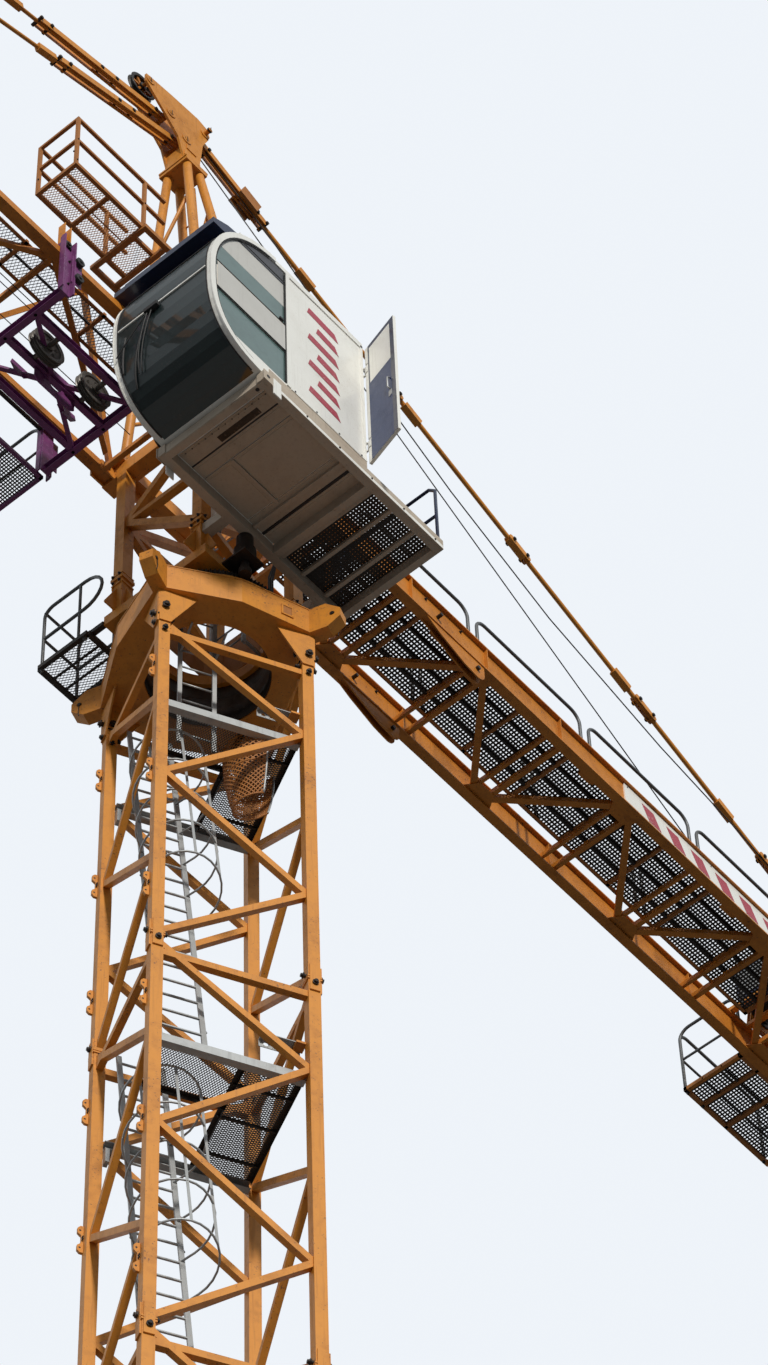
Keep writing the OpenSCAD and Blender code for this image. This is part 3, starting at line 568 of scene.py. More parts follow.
# ---- mast
def build_mast_floors():
    """Resting floors with their hatch guard and the ladder that goes on through the ring."""
    floors = Piece("resting_floors", "mast", "dark_steel", DARK, ZINC)
    floors.turn = ON_MAST
    e, x1 = 0.73 - SEAT, 0.705 - SEAT
    floors.mat = 1
    floors.block((0.19, 0.59, BASE), (0.69, 0.69, BASE + 0.04))
    for i in range(SECTIONS):
        z = BASE + i * SECTION + FLOOR_RISE
        floors.mat = 1
        for y, way in ((-e, 1), (e, -1)):
            floors.block((-x1, y, z - 0.1), (x1, y + way * 0.006, z))
            for zz in (z - 0.1, z - 0.008):
                floors.block((-x1, y + way * 0.006, zz), (x1, y + way * 0.08, zz + 0.008))
        floors.mat = 0
        for x in (-x1, -0.16):
            floors.block((x, -e + 0.08, z - 0.06), (x + 0.006, e - 0.08, z))
            floors.block((x, -e + 0.08, z - 0.006), (x + 0.05, e - 0.08, z))
        floors.block((-0.16, 0.11, z - 0.06), (x1 - 0.02, 0.117, z))
        floors.block((-0.16, 0.11, z - 0.006), (x1 - 0.02, 0.15, z))
        floors.block((x1 - 0.03, 0.11, z - 0.06), (x1 - 0.02, e - 0.08, z))
        expanded(floors, (-x1 + 0.01, -e + 0.03, z), AY, AX, 2 * e - 0.06, x1 - 0.13, 0.027)
        expanded(floors, (-0.11, 0.115, z), AX, AY, x1 + 0.08, e - 0.135, 0.027)
        for y in (-0.45, 0.0, 0.4):
            floors.bar((-x1, y, z - 0.02), (-0.13, y, z - 0.02), 0.02, 0.03)
    floors.done(0.0, "mast_platforms")

    # mesh funnel under the hatch of the top floor and the ladder through the ring
    guard = Piece("hatch_mesh_guard", "mast", "brown_paint", BROWN, ZINC)
    guard.turn = ON_MAST
    cx, cy, top = -0.36, 0.36, TOP_FLOOR - 0.012
    a0, a1, rows, cols = radians(-150), radians(95), 15, 22

    def on_guard(i, k):
        f, a = k / rows, a0 + (a1 - a0) * i / cols
        r = 0.31 - 0.10 * f * f
        drop = 0.78 + 0.10 * sin(a + 1.2)
        return Vector((cx + r * cos(a), cy + r * sin(a), top - drop * f))

    for i in range(cols):
        for k in range(rows):
            guard.bar(on_guard(i, k), on_guard(i + 1, k + 1), 0.004, 0.013)
            guard.bar(on_guard(i + 1, k), on_guard(i, k + 1), 0.004, 0.013)
    for k in (0, rows // 2, rows):
        guard.tube([on_guard(i, k) for i in range(cols + 1)], 0.009, 6)
    guard.mat = 1
    for i in (0, cols):
        guard.tube([on_guard(i, k) for k in range(rows + 1)], 0.011, 6)
    low, high = TOP_FLOOR + 0.04, MAST_TOP + 1.02
    for x in (0.02, 0.39):
        guard.bar((x, 0.25, low), (x, 0.25, high), 0.022, 0.045)
        guard.bar((x, 0.25, MAST_TOP + 0.30), (x, 0.60, MAST_TOP + 0.36), 0.020, 0.020)
    for k in range(int((high - low - 0.2) / 0.28) + 1):
        guard.tube([(0.02, 0.25, low + 0.15 + 0.28 * k), (0.39, 0.25, low + 0.15 + 0.28 * k)], 0.011, 6)
    guard.done()


def build_ladder_cages():
    """Hoops, straps and bolts of the leaning ladders."""
    cage = Piece("ladder_cages", "mast", "galvanised", ZINC)
    cage.turn = ON_MAST
    for i in range(SECTIONS):
        z0 = (BASE + 0.04) if i == 0 else BASE + (i - 1) * SECTION + FLOOR_RISE + 0.008
        z1 = BASE + i * SECTION + 4.75

        def lean(z):
            return 0.64 - 0.189 * (z - z0)

        levels = [z0 + 2.2 + k * 0.62 for k in range(int((z1 - z0 - 3.1) / 0.62) + 1)]
        straps = [[], [], []]
        for z in levels:
            y = lean(z)
            hoop = [(0.645, y + 0.01, z)]
            for k in range(21):
                t = radians(-38 + 256 * k / 20)
                hoop.append((0.44 + 0.37 * cos(t), y + 0.33 + 0.37 * sin(t), z + 0.12 + 0.12 * sin(t)))
            hoop.append((0.235, y + 0.01, z))
            cage.tube(hoop, 0.011, 6)
            for row, k in zip(straps, (7, 11, 15)):
                row.append(hoop[k])
        for row in straps:
            for a, b in zip(row, row[1:]):
                cage.bar(a, b, 0.026, 0.006, AY)
        for x, side in ((0.225, -1), (0.655, 1)):
            for z in (z0 + 0.35, (z0 + z1) / 2, z1 - 1.1):
                cage.bolt((x + side * 0.026, lean(z), z), (side, 0, 0), 0.012, 0.012)
    cage.done()


def build_mast_fittings():
    """Climbing cleats, pins at the section joints and cable brackets."""
    cleats = Piece("climbing_cleats", "mast", "yellow_paint", YELLOW, PIN)
    cleats.turn = ON_MAST
    for i in range(1, SECTIONS + 1):
        ztop = BASE + i * SECTION
        for y in (HALF - 0.035, -HALF - 0.035):
            for drop in (0.75, 2.45, 4.2):
                x, z = HALF + 0.06, ztop - drop
                cleats.outline([(-0.008, -0.17), (0.03, -0.17), (0.055, -0.14), (0.055, -0.08), (0.02, -0.045),
                                (0.02, 0.045), (0.055, 0.08), (0.055, 0.14), (0.03, 0.17),
                                (-0.008, 0.17)], (x, y, z), AX, AZ, 0.03)
                cleats.mat = 1
                for s in (-1, 1):
                    cleats.disc((x + 0.032, y + 0.001, z + s * 0.11), (0, -1, 0), 0.012, 0.036, 10)
                    cleats.disc((x + 0.012, y + 0.03, z + s * 0.015), (0, -1, 0), 0.008, 0.04, 8)
                cleats.mat = 0
    cleats.done(0.004)

    pins = Piece("section_pins", "mast", "machine_steel", PIN, YELLOW)
    pins.turn = ON_MAST
    for i in range(1, SECTIONS + 1):
        z = BASE + i * SECTION - (0.16 if i == SECTIONS else 0.0)
        for sx in (-1, 1):
            for sy in (-1, 1):
                cx, cy = sx * HALF, sy * HALF
                pins.mat = 0
                for dz, along in ((0.07, AX), (-0.08, AY)):
                    pins.pin((cx, cy, z + dz), along, 0.020, 0.115, 14, 0.083, (0.032, 0.012), 16)
                pins.mat = 1
                if i < SECTIONS:
                    for s, zz in ((1, z + 0.005), (-1, z - 0.025)):
                        pins.block((cx - 0.072, cy - 0.072, zz), (cx + 0.072, cy + 0.072, zz + 0.02))
                pins.mat = 0
                pins.tube([(cx + sx * 0.1, cy - 0.02, z + 0.07), (cx + sx * 0.105, cy, z + 0.03),
                           (cx + sx * 0.1, cy + 0.02, z + 0.07)], 0.004, 5)
    pins.done(0.002)

    brackets = Piece("cable_brackets", "mast", "galvanised", ZINC, YELLOW, PIN)
    brackets.turn = ON_MAST
    for i in range(SECTIONS):
        z = BASE + i * SECTION + 4.15
        x0, y0 = -HALF + 0.07, HALF - 0.16
        holes = [(0.075 + 0.085 * k) for k in range(4)]
        for k in range(5):
            a = 0.0 if k == 0 else holes[k - 1] + 0.024
            b = 0.40 if k == 4 else holes[k] - 0.024
            brackets.block((x0 + a, y0, z - 0.045), (x0 + b, y0 + 0.008, z + 0.03))
        brackets.block((x0, y0, z + 0.029), (x0 + 0.40, y0 + 0.10, z + 0.039))
        brackets.block((x0, y0, z - 0.055), (x0 + 0.40, y0 + 0.008, z - 0.044))
        for a in holes:
            brackets.disc((x0 + a, y0 + 0.009, z - 0.008), (0, -1, 0), 0.036, 0.01, 14, 0.026)
        brackets.mat = 1
        brackets.block((x0 - 0.02, y0 + 0.01, z), (x0 + 0.08, y0 + 0.13, z + 0.028))
        brackets.mat = 2
        brackets.bolt((x0 + 0.04, y0 + 0.05, z + 0.039), AZ, 0.014, 0.02)
        brackets.mat = 0
        brackets.block((HALF - 0.10, -HALF + 0.062, z - 0.70), (HALF - 0.06, -HALF + 0.14, z - 0.52))
    brackets.done(0.001)


def build_ring_details():
    """Seams, pins and hand hole of the ring, and teeth and bolts of the fixed race."""
    ring = Piece("ring_details", "mast", "yellow_paint", YELLOW, PIN, BROWN)
    z = MAST_TOP
    for k in range(4):
        ring.turn = ON_MAST @ Matrix.Rotation(k * pi / 2, 4, "Z")
        # weld seams and folded rim of the fascia, top and bottom
        for sgn in (1, -1):
            ring.mat = 0
            for zz in (z + 0.410, z + 0.800):
                ring.bar((sgn * FASCIA_IN, FASCIA_IN - 0.008, zz), (0, FASCIA_OUT - 0.008, zz), 0.03, 0.016)
        ring.mat = 1
        ring.disc((HALF - 0.125, HALF, z + 0.055), AX, 0.026, 0.26, 16)
        ring.disc((HALF, HALF - 0.125, z + 0.13), AY, 0.026, 0.26, 16)
        for s in (-1, 1):
            ring.disc((HALF + s * 0.100, HALF, z + 0.055), (s, 0, 0), 0.042, 0.014, 16)
            ring.disc((HALF, HALF + s * 0.100, z + 0.13), (0, s, 0), 0.042, 0.014, 16)
        ring.block((HALF - 0.075, HALF - 0.075, z - 0.006), (HALF + 0.075, HALF + 0.075, z + 0.004))
    ring.turn = ON_MAST
    # small framed hand hole on the front fascia
    along = (Vector((-FASCIA_IN, FASCIA_IN, 0)) - Vector((0, FASCIA_OUT, 0))).normalized()
    out = Vector((along.y, -along.x, 0))
    centre = Vector((0, FASCIA_OUT, z + 0.60)) + along * 0.52 + out * 0.004
    ring.mat = 0
    for s in (-1, 1):
        ring.bar(centre + along * s * 0.06 - UP * 0.075,
                 centre + along * s * 0.06 + UP * 0.075, 0.02, 0.02, out)
        ring.bar(centre + UP * s * 0.075 - along * 0.07,
                 centre + UP * s * 0.075 + along * 0.07, 0.02, 0.02, out)
    ring.mat = 2
    ring.bar(centre - along * 0.05, centre + along * 0.05, 0.008, 0.13, UP)
    # lug pins on the diagonals
    ring.mat = 1
    ring.turn = Matrix.Identity(4)
    for k in range(4):
        t = MAST_TURN + radians(45 + 90 * k)
        out = Vector((cos(t), sin(t), 0))
        side = Vector((-out.y, out.x, 0))
        c = out * (HALF * sqrt(2) + 0.33) + UP * (z + 0.60)
        ring.disc(c - side * 0.085, side, 0.022, 0.17, 14)
        ring.tube([c + side * 0.08 - UP * 0.03, c + side * 0.09 - UP * 0.12,
                   c + side * 0.08 - UP * 0.2], 0.006, 5)
    ring.done(0.002)

    teeth = Piece("race_teeth", "mast", "machine_steel", GREASE)
    for t in turns(RACE_TEETH):
        c, s = cos(t), sin(t)
        u, v = Vector((c, s, 0)), Vector((-s, c, 0))
        o = u * 0.899 + UP * (MAST_TOP + 0.895)
        tooth = [o - v * 0.012, o + u * 0.026 - v * 0.006, o + u * 0.026 + v * 0.006, o + v * 0.012]
        teeth.prism(tooth, [p + UP * 0.09 for p in tooth])
    teeth.turned((0, 0, MAST_TOP + 0.40), AZ,
                 [(0.640, 0.02), (0.648, 0.02), (0.648, 0.47), (0.640, 0.47)], 64, True)
    for t in turns(36):
        teeth.bolt((0.86 * cos(t), 0.86 * sin(t), MAST_TOP + 0.81), DOWN, 0.016, 0.024)
    teeth.done()


build_mast_floors()
build_ladder_cages()
build_mast_fittings()
build_ring_details()


# ---- turning tower
def build_tower_fittings():
    """Joint plates, knees, caps, pins, switch box and leads of the turning tower."""
    fit = Piece("tower_fittings", "upperworks", "yellow_paint", YELLOW, PIN, WHITE, ZINC, RUBBER)
    t = MAST_TOP
    for x in (-TOWER_X, TOWER_X):
        for y in (-TOWER_Y, TOWER_Y):
            fit.mat = 0
            wx, wy = copysign(1, x), copysign(1, y)
            for dz in (1.70, 1.86):
                fit.block((x - 0.09, y - 0.08, t + dz), (x + 0.09, y + 0.08, t + dz + 0.02))
            for sx in (-1, 1):
                for sy in (-1, 1):
                    px, py = x + sx * 0.075, y + sy * 0.064
                    fit.bar((px, py, t + 1.56), (px, py, t + 1.70), 0.008, 0.03)
            fit.mat = 1
            for sx in (-0.045, 0.045):
                for dz in (1.75, 1.86):
                    fit.bolt((x + sx, y + wy * 0.085, t + dz - 0.02), (0, wy, 0), 0.016, 0.022)
                    fit.bolt((x + wx * 0.095, y + sx, t + dz - 0.02), (wx, 0, 0), 0.016, 0.022)
            # flared foot plates on the tower base
            fit.mat = 0
            for s in (-1, 1):
                for w, foot, way in ((0.17, (x + s * 0.074, y - 0.008), (s, 0, 0)),
                                     (0.14, (x - 0.008, y + s * 0.064), (0, s, 0))):
                    fit.outline([(0, 0), (w, 0), (w, 0.03), (0, 0.42)], (*foot, t + 1.23), way, AZ, 0.016)
    # corner knees under the head frame
    for y in (-1, 1):
        for x in (-1, 1):
            shape = [(0, 0)]
            for k in range(9):
                a = radians(90 * k / 8)
                shape.append((0.52 * (1 - sin(a)), -0.62 * (1 - cos(a))))
            fit.outline(shape, (x * (TOWER_X - 0.074), y * 0.61, t + 3.795), (-x, 0, 0), AZ, 0.012)
    # pyramid caps at the jib feet
    square = ((-1, -1), (1, -1), (1, 1), (-1, 1))
    for s in (-1, 1):
        fit.prism([(0.80 + 0.10 * a, s * 0.60 + 0.10 * b, t + 4.0) for a, b in square],
                  [(0.80 + 0.03 * a, s * 0.60 + 0.03 * b, t + 4.14) for a, b in square])
    # root pins of jib and counter-jib
    fit.mat = 1
    for s in (-1, 1):
        for x, y, z in ((JIB_ROOT + 0.12, s * JIB_HALF, JIB_Z), (-0.93, s * GIRDER_Y, t + 4.1)):
            fit.pin((x, y, z), AY, 0.028, 0.12, 16, 0.088, (0.05, 0.014), 18)
    # switch box and conduits on the front cab-side column
    fit.mat = 2
    fit.block((0.52, 0.625, t + 1.92), (0.66, 0.75, t + 2.30))
    fit.block((0.54, 0.74, t + 1.95), (0.64, 0.756, t + 2.27))
    fit.mat = 3
    fit.tube([(0.60, 0.68, t + 1.93), (0.60, 0.68, t + 1.75), (0.62, 0.72, t + 1.62),
              (0.70, 0.80, t + 1.60)], 0.014, 6)
    fit.mat = 4
    for k, (dx, dz) in enumerate(((0, 0), (0.03, 0.05), (-0.02, 0.1))):
        fit.tube([(0.58 + dx, 0.66, t + 2.30), (0.58 + dx, 0.67, t + 2.5 + dz), (0.70, 0.63, t + 2.9 + dz),
                  (0.70, 0.63, t + 3.7)], 0.010, 6)
    fit.done(0.003)

    inner = Piece("tower_ladder", "upperworks", "galvanised", ZINC)
    for y in (-0.22, 0.22):
        inner.bar((-0.30, y, t + 1.10), (-0.30, y, t + 3.95), 0.025, 0.05)
    for k in range(10):
        inner.tube([(-0.30, -0.22, t + 1.2 + 0.28 * k), (-0.30, 0.22, t + 1.2 + 0.28 * k)], 0.012, 6)
    for z in (t + 1.15, t + 3.9):
        for y in (-0.22, 0.22):
            inner.bar((-0.30, y, z), (-0.645, y, z), 0.03, 0.03)
    inner.done()

    # rope guide plates standing inside the turning base
    plates = Piece("turret_cable_plates", "upperworks", "brown_paint", BROWN, RUBBER)
    low, high = t + 1.243, t + 1.86
    corners = [(x, y, (low + high) / 2) for x,
               y in ((0.45, -0.47), (-0.45, -0.47), (-0.60, -0.32), (-0.60, 0.45))]
    for p, q in zip(corners, corners[1:]):
        plates.bar(p, q, 0.010, high - low)
    plates.mat = 1
    for k in range(3):
        plates.tube([(-0.56 + 0.03 * k, 0.40, low), (-0.55 + 0.03 * k, 0.41, t + 2.3),
                     (-0.60, 0.46 + 0.02 * k, t + 2.9), (-0.60, 0.50, t + 3.7)], 0.011, 6)
    plates.done()


def build_balcony():
    z = MAST_TOP + 1.03 + SEAT
    b = Piece("side_balcony", "upperworks", "dark_steel", DARK, RAIL)
    x0, x1, y0, y1 = 0.31, 0.87, -1.56, -0.875
    corners = [(x0, y0, z + 0.03), (x1, y0, z + 0.03), (x1, y1, z + 0.03), (x0, y1, z + 0.03)]
    for k in range(4):
        b.bar(corners[k], corners[(k + 1) % 4], 0.05, 0.06)
    for x in (x0 + 0.19, x0 + 0.37):
        b.bar((x, y0, z + 0.02), (x, y1, z + 0.02), 0.02, 0.03)
    expanded(b, (x0, y0, z + 0.045), AX, AY, x1 - x0, y1 - y0, 0.036)
    for x in (0.34, 0.78):
        b.block((x, -0.90, z + 0.05), (x + 0.06, -0.70 - SEAT, z + 0.11))
    b.mat = 1
    # two side rails with turned-down ends, and bars between them along the far side
    top, mid = z + 1.06, z + 0.55
    for x in (x0 + 0.02, x1 - 0.02):
        ys, ye = y0 + 0.02, -0.72
        r = 0.13
        path = [(x, ys, z + 0.05), (x, ys, top - r)]
        path += arc((x, ys + r, top - r), (0, -1, 0), AZ, r, 90)[1:]
        path += arc((x, ye - 0.25, top - 0.25), AZ, AY, 0.25, 180, 10)
        path += [(x, ys, mid)]
        b.tube(path, 0.019, 10)
        b.tube([(x, (ys + ye) / 2 + 0.1, z + 0.05), (x, (ys + ye) / 2 + 0.1, top)], 0.017, 10)
    for h in (mid, top - 0.03):
        b.tube([(x0 + 0.02, y0 + 0.02, h), (x1 - 0.02, y0 + 0.02, h)], 0.017, 10)
    for x in (x0, x1 - 0.03):
        for y in (y0, -0.95):
            b.bolt((x + 0.015, y + 0.02, z), DOWN, 0.02, 0.03)
    b.done(0.003, "balcony")


# ---- cathead
def leg_point(k, s, z):
    """Point on a cathead leg: k front or rear, s side, z height."""
    t = (z - LEG_FOOT) / (LEG_HEAD - LEG_FOOT)
    x0, x1 = (0.69, 0.61) if k > 0 else (-0.66, 0.41)
    return Vector((x0 + (x1 - x0) * t, s * (0.64 - 0.49 * t), z))


def head_pin(name):
    """Middle of a pin in the cathead's head plates."""
    x, dz = HEAD_PINS[name]
    return Vector((x, 0, APEX + dz))


def build_cathead():
    """Tubes, steps, mesh floor, sheave and pins of the cathead."""
    legs = Piece("cathead_tubes", "upperworks", "yellow_paint", YELLOW, PIN)
    legs.block((0.33, -0.22, LEG_HEAD - 0.06), (0.69, 0.22, LEG_HEAD - SEAT))
    lv = [LEG_FOOT + (LEG_HEAD - LEG_FOOT) * (0.16 + 0.18 * i) for i in range(5)]
    for s in (-1, 1):
        for k in (-1, 1):
            legs.mat = 0
            f = leg_point(k, s, LEG_FOOT)
            legs.block(f + Vector((-0.075, -0.075, SEAT)), f + Vector((0.075, 0.075, 0.03)))
            legs.tube([leg_point(k, s, LEG_FOOT + 0.005), leg_point(k, s, LEG_HEAD - 0.02)], 0.055, 20)
            for g in range(4):
                a = radians(45 + 90 * g)
                o = Vector((cos(a), sin(a), 0))
                legs.outline([(0.05, 0.02), (0.095, 0.02), (0.05, 0.16)],
                             f - Vector((-o.y, o.x, 0)) * 0.004, o, UP, 0.008)
            legs.mat = 1
            for g in (-1, 1):
                legs.bolt(f + Vector((g * 0.058, g * 0.058, 0.03)), AZ, 0.012, 0.02)
    legs.mat = 0
    for k in (-1, 1):
        for i in range(4):
            w = 1 if i % 2 == 0 else -1
            legs.tube([leg_point(k, w, lv[i] + 0.03), leg_point(k, -w, lv[i + 1] - 0.03)], 0.023, 12)
    for s in (-1, 1):
        legs.tube([leg_point(1, s, lv[2] + 0.09), leg_point(-1, s, lv[2] + 0.09)], 0.025, 12)
        legs.tube([leg_point(1, s, lv[0] - 0.06), leg_point(-1, s, lv[1] + 0.09)], 0.023, 12)
    legs.done(0.002, "cathead_legs")

    rungs = Piece("cathead_steps", "upperworks", "yellow_paint", YELLOW, RAIL)
    n = int((LEG_HEAD - LEG_FOOT - 0.6) / 0.3)
    for i in range(n):
        z = LEG_FOOT + 0.4 + i * 0.3
        p = leg_point(-1, -1, z)
        q = p + Vector((0.0, 0.26 if z < LEG_HEAD - 1.6 else 0.2, 0.0))
        rungs.tube([p, q], 0.011, 6)
    low = leg_point(-1, -1, LEG_FOOT + 0.3) + Vector((0, 0.26, 0))
    high = leg_point(-1, -1, LEG_HEAD - 0.2) + Vector((0, 0.22, 0))
    rungs.tube([low, high], 0.016, 8)
    rungs.done()

    deck = Piece("cathead_mesh_floor", "upperworks", "brown_paint", BROWN, PIN)
    z = APEX - 4.15
    for a, b, y0, y1 in ((1.50, 2.07, -0.25, 0.37), (2.07, 2.64, -0.25, 0.37), (1.15, 1.51, -0.25, 0.22)):
        expanded(deck, (a + 0.04, y0 + 0.04, z + 0.045), AX, AY, b - a - 0.05,
                 y1 - y0 - 0.08, 0.034, 0.004, 0.01)
    deck.block((1.50, 0.052, z + 0.02), (2.62, 0.060, z + 0.045))
    deck.mat = 1
    for x in (1.52, 2.62):
        for y in (-0.262, 0.382):
            for dz in (0.10, 0.56):
                deck.bolt((x, y - copysign(0.014, y), z + dz), (0, copysign(1, y), 0), 0.010, 0.012)
    for y in (-0.21, 0.33):
        deck.bolt((2.64, y, z + 0.30), AX, 0.010, 0.012)
    deck.done()

    sheave = Piece("cathead_sheave", "upperworks", "machine_steel", GREASE, ORANGE)
    c = (1.27, -0.04, APEX - 0.09)
    sheave.turned(c, AY,
                  [(0.165, 0.010), (0.205, 0.004), (0.21, 0.012), (0.188, 0.030), (0.182, 0.04), (0.188, 0.050),
                                 (0.21, 0.068), (0.205, 0.076), (0.165, 0.070), (0.165, 0.010)], 48)
    sheave.mat = 1
    for t in turns(6):
        d, o = Vector((cos(t), 0, sin(t))), Vector(c) + Vector((0, 0.04, 0))
        sheave.bar(o + d * 0.04, o + d * 0.17, 0.035, 0.028, AY)
    sheave.mat = 0
    sheave.disc(c, AY, 0.055, 0.08, 24, 0.026)
    sheave.done(0.0015, "head_sheave")

    head_fit = Piece("cathead_pins", "upperworks", "machine_steel", PIN, YELLOW)
    for name, r, half in (("counter", 0.030, 0.245), ("near", 0.030, 0.165), ("far", 0.030, 0.165),
                          ("sheave", 0.025, 0.165)):
        pin = head_pin(name)
        for s in (-1, 1):
            c = pin + Vector((0, s * (half - 0.03), 0))
            head_fit.mat = 1
            head_fit.disc(pin + Vector((0, s * 0.145, 0)), (0, s, 0), r + 0.045, 0.012, 22)
            head_fit.mat = 0
            head_fit.disc(c, (0, s, 0), r + 0.008, 0.022, 18)
            head_fit.tube([c + Vector((0, s * 0.03, r + 0.02)),
                           c + Vector((0, s * 0.035, -r - 0.03))], 0.005, 5)
    head_fit.mat = 1
    for s in (-1, 1):
        for x0, x1, dz in ((0.40, 0.66, -1.05), (0.45, 0.62, -0.86)):
            head_fit.block((x0, s * 0.145, APEX + dz), (x1, s * 0.157, APEX + dz + 0.10))
    head_fit.done(0.002)


build_tower_fittings()
build_balcony()
build_cathead()


# ---- jib
def deck_frame(piece, x0, x1, y0, y1, z, bays, w, t):
    """Edge angles and cross flats of a walkway; gives the clear lengths between the flats."""
    for y in (y0, y1 - w):
        piece.block((x0, y, z), (x1, y + t, z + 0.05))
        piece.block((x0, y, z), (x1, y + w, z + t))
    flats = [x0 + (x1 - x0 - w) * i / bays for i in range(bays + 1)]
    for x in flats:
        piece.block((x, y0, z), (x + w, y1, z + 0.05))
    return [(a + w, b) for a, b in zip(flats, flats[1:])]


def build_jib():
    """Mesh walkway, plates and pins, and the trolley's ropes."""
    walk = Piece("jib_mesh_walkway", "upperworks", "dark_steel", BROWN, DARK)
    x0, x1, y0, y1, z = 1.10, 23.70, 0.18, 0.60, JIB_Z + 0.03 + SEAT
    clear = deck_frame(walk, x0, x1, y0, y1, z, 19, 0.04, 0.006)
    walk.mat = 1
    walk.block((x0, (y0 + y1) / 2 - 0.01, z + 0.01), (x1, (y0 + y1) / 2 + 0.01, z + 0.04))
    for a, b in clear:
        expanded(walk, (a, y0 + 0.01, z + 0.035), AX, AY, b - a, y1 - y0 - 0.02, 0.042, 0.004, 0.01)
    walk.done(0.0, "jib_walkway")

    fit = Piece("jib_fittings", "upperworks", "yellow_paint", ORANGE, PIN, YELLOW)
    z = JIB_Z
    # short upright channel beside the near chord
    fit.mat = 2
    section(fit, (3.19, 0.73, z + 0.06), (3.19, 0.73, z + 0.58), channel_shape(0.10, 0.10, 0.010), AX)
    # running rails with stiffened joints every fourth bay
    for s in (-1, 1):
        for k in range(1, 3):
            x = JIB_ROOT + JIB_BAY * 4 * k
            y = s * JIB_HALF
            fit.mat = 0
            for o in (-1, 1):
                fit.block((x - 0.16, y + o * 0.065 - 0.006, z - 0.04),
                          (x + 0.16, y + o * 0.065 + (0.014 if o > 0 else 0.004), z + 0.05))
            fit.mat = 1
            for dx in (-0.09, 0.09):
                fit.disc((x + dx, y - 0.10, z), AY, 0.022, 0.20, 14)
    # node plates where the side bars meet the chords
    foot, n = JIB_HALF - 0.03, 9
    fit.mat = 0
    for s in (-1, 1):
        for i in range(n + 1):
            x = JIB_ROOT + JIB_BAY * i + 0.02
            if x < JIB_ROOT + 0.3 or x > 23.3:
                continue
            fit.outline([(-0.17, 0), (0.17, 0), (0.10, 0.14), (-0.10, 0.14)], (x, s * (foot - 0.02), z + 0.058),
                        AX, (0, -s * 0.38, 0.92), 0.010)
    fit.done(0.002)

    ropes = Piece("jib_ropes", "upperworks", "machine_steel", CABLE, GREASE, ORANGE)
    zz = MAST_TOP + 3.62
    for y in (0.20, 0.27):
        ropes.tube([(0.95, y, zz), (23.6, y, zz)], 0.006, 6)
    ropes.tube([(1.05, -0.20, zz + 0.28), (23.6, -0.20, zz + 0.28)], 0.006, 6)
    ropes.mat = 1
    for x in (0.95, 23.6):
        ropes.turned((x, 0.16, zz - 0.12), AY,
                     [(0.02, 0), (0.13, 0), (0.115, 0.03), (0.13, 0.05), (0.13, 0.11), (0.115, 0.12),
                      (0.13, 0.15), (0.02, 0.15)], 28)
        ropes.mat = 2
        ropes.bar((x, 0.235, zz - 0.12), (x, 0.235, JIB_Z - 0.04), 0.05, 0.12, AY)
        ropes.bar((x, -0.67, JIB_Z - 0.07), (x, 0.67, JIB_Z - 0.07), 0.06, 0.06)
        ropes.mat = 1
    ropes.done()


# ---- tie lines
def build_tie_details():
    """Link plates along the ties, and the rope box and slack rope of the counter-jib tie."""
    ties = Piece("tie_link_plates", "upperworks", "yellow_paint", YELLOW, PIN)
    near = Vector((JIB_ROOT + 5.5 * JIB_BAY, 0, JIB_TOP + 0.1))
    far = Vector((JIB_ROOT + 8.5 * JIB_BAY, 0, JIB_TOP + 0.1))
    top_pin, low_pin = head_pin("counter"), Vector((-11.5, 0, MAST_TOP + 6.56))
    lines = [(head_pin("near"), near, 5), (head_pin("far"), far, 7), (top_pin, low_pin, 5)]
    side = Vector(AY)
    shape = []
    for end in (1, -1):
        for k in range(13):
            a = pi * k / 12 - end * pi / 2
            shape.append((end * 0.16 + 0.048 * cos(a), 0.048 * sin(a)))
    for p0, q0, links in lines:
        d = (q0 - p0).normalized()
        lift = side.cross(d).normalized()
        length = (q0 - p0).length
        for i in range(1, links + 1):
            c = p0 + d * (length * (i - 0.5) / links if i > 1 else 1.0)
            ties.mat = 0
            for o in (-1, 1):
                ties.outline(shape, c + side * (o * 0.040 - 0.006), d, lift, 0.012)
            ties.mat = 1
            for k in (-0.13, 0.13):
                ties.pin(c + d * k, side, 0.019, 0.075, 12, 0.060, (0.028, 0.010), 12)
        # deep double links next to the cathead
        reach = 2.2 if q0.x > 0 else 1.3
        ties.mat = 0
        for o in (-1, 1):
            ties.bar(p0 + side * (o * 0.052), p0 + d * reach + side * (o * 0.052), 0.012, 0.105, lift)
        ties.mat = 1
        for k in (0.0, 0.18, reach - 0.18, reach):
            ties.disc(p0 + d * k - side * 0.085, side, 0.024, 0.17, 12)
    ties.done(0.0015)

    spread = Piece("tie_rope_box", "upperworks", "brown_paint", BROWN, CABLE)
    d = (low_pin - top_pin).normalized()
    c = top_pin + d * 0.95
    lift = side.cross(d).normalized()
    for o in (-1, 1):
        m = c + side * (o * 0.09)
        spread.bar(m - d * 0.16, m + d * 0.16, 0.03, 0.22, lift)
    for k in (-0.12, 0.12):
        m = c + d * k + lift * 0.09
        spread.bar(m - side * 0.10, m + side * 0.10, 0.04, 0.03)
    spread.mat = 1
    sag = [(0.15, 10.96), (-1.085, 10.40), (-2.6, 9.50), (-4.3, 8.60), (-6.106, 7.86), (-8.2, 7.36),
           (-9.8, 7.12), (-10.9, 6.85)]
    spread.tube([(x, 0.02, MAST_TOP + z) for x, z in sag], 0.009, 6)
    spread.done(0.002)


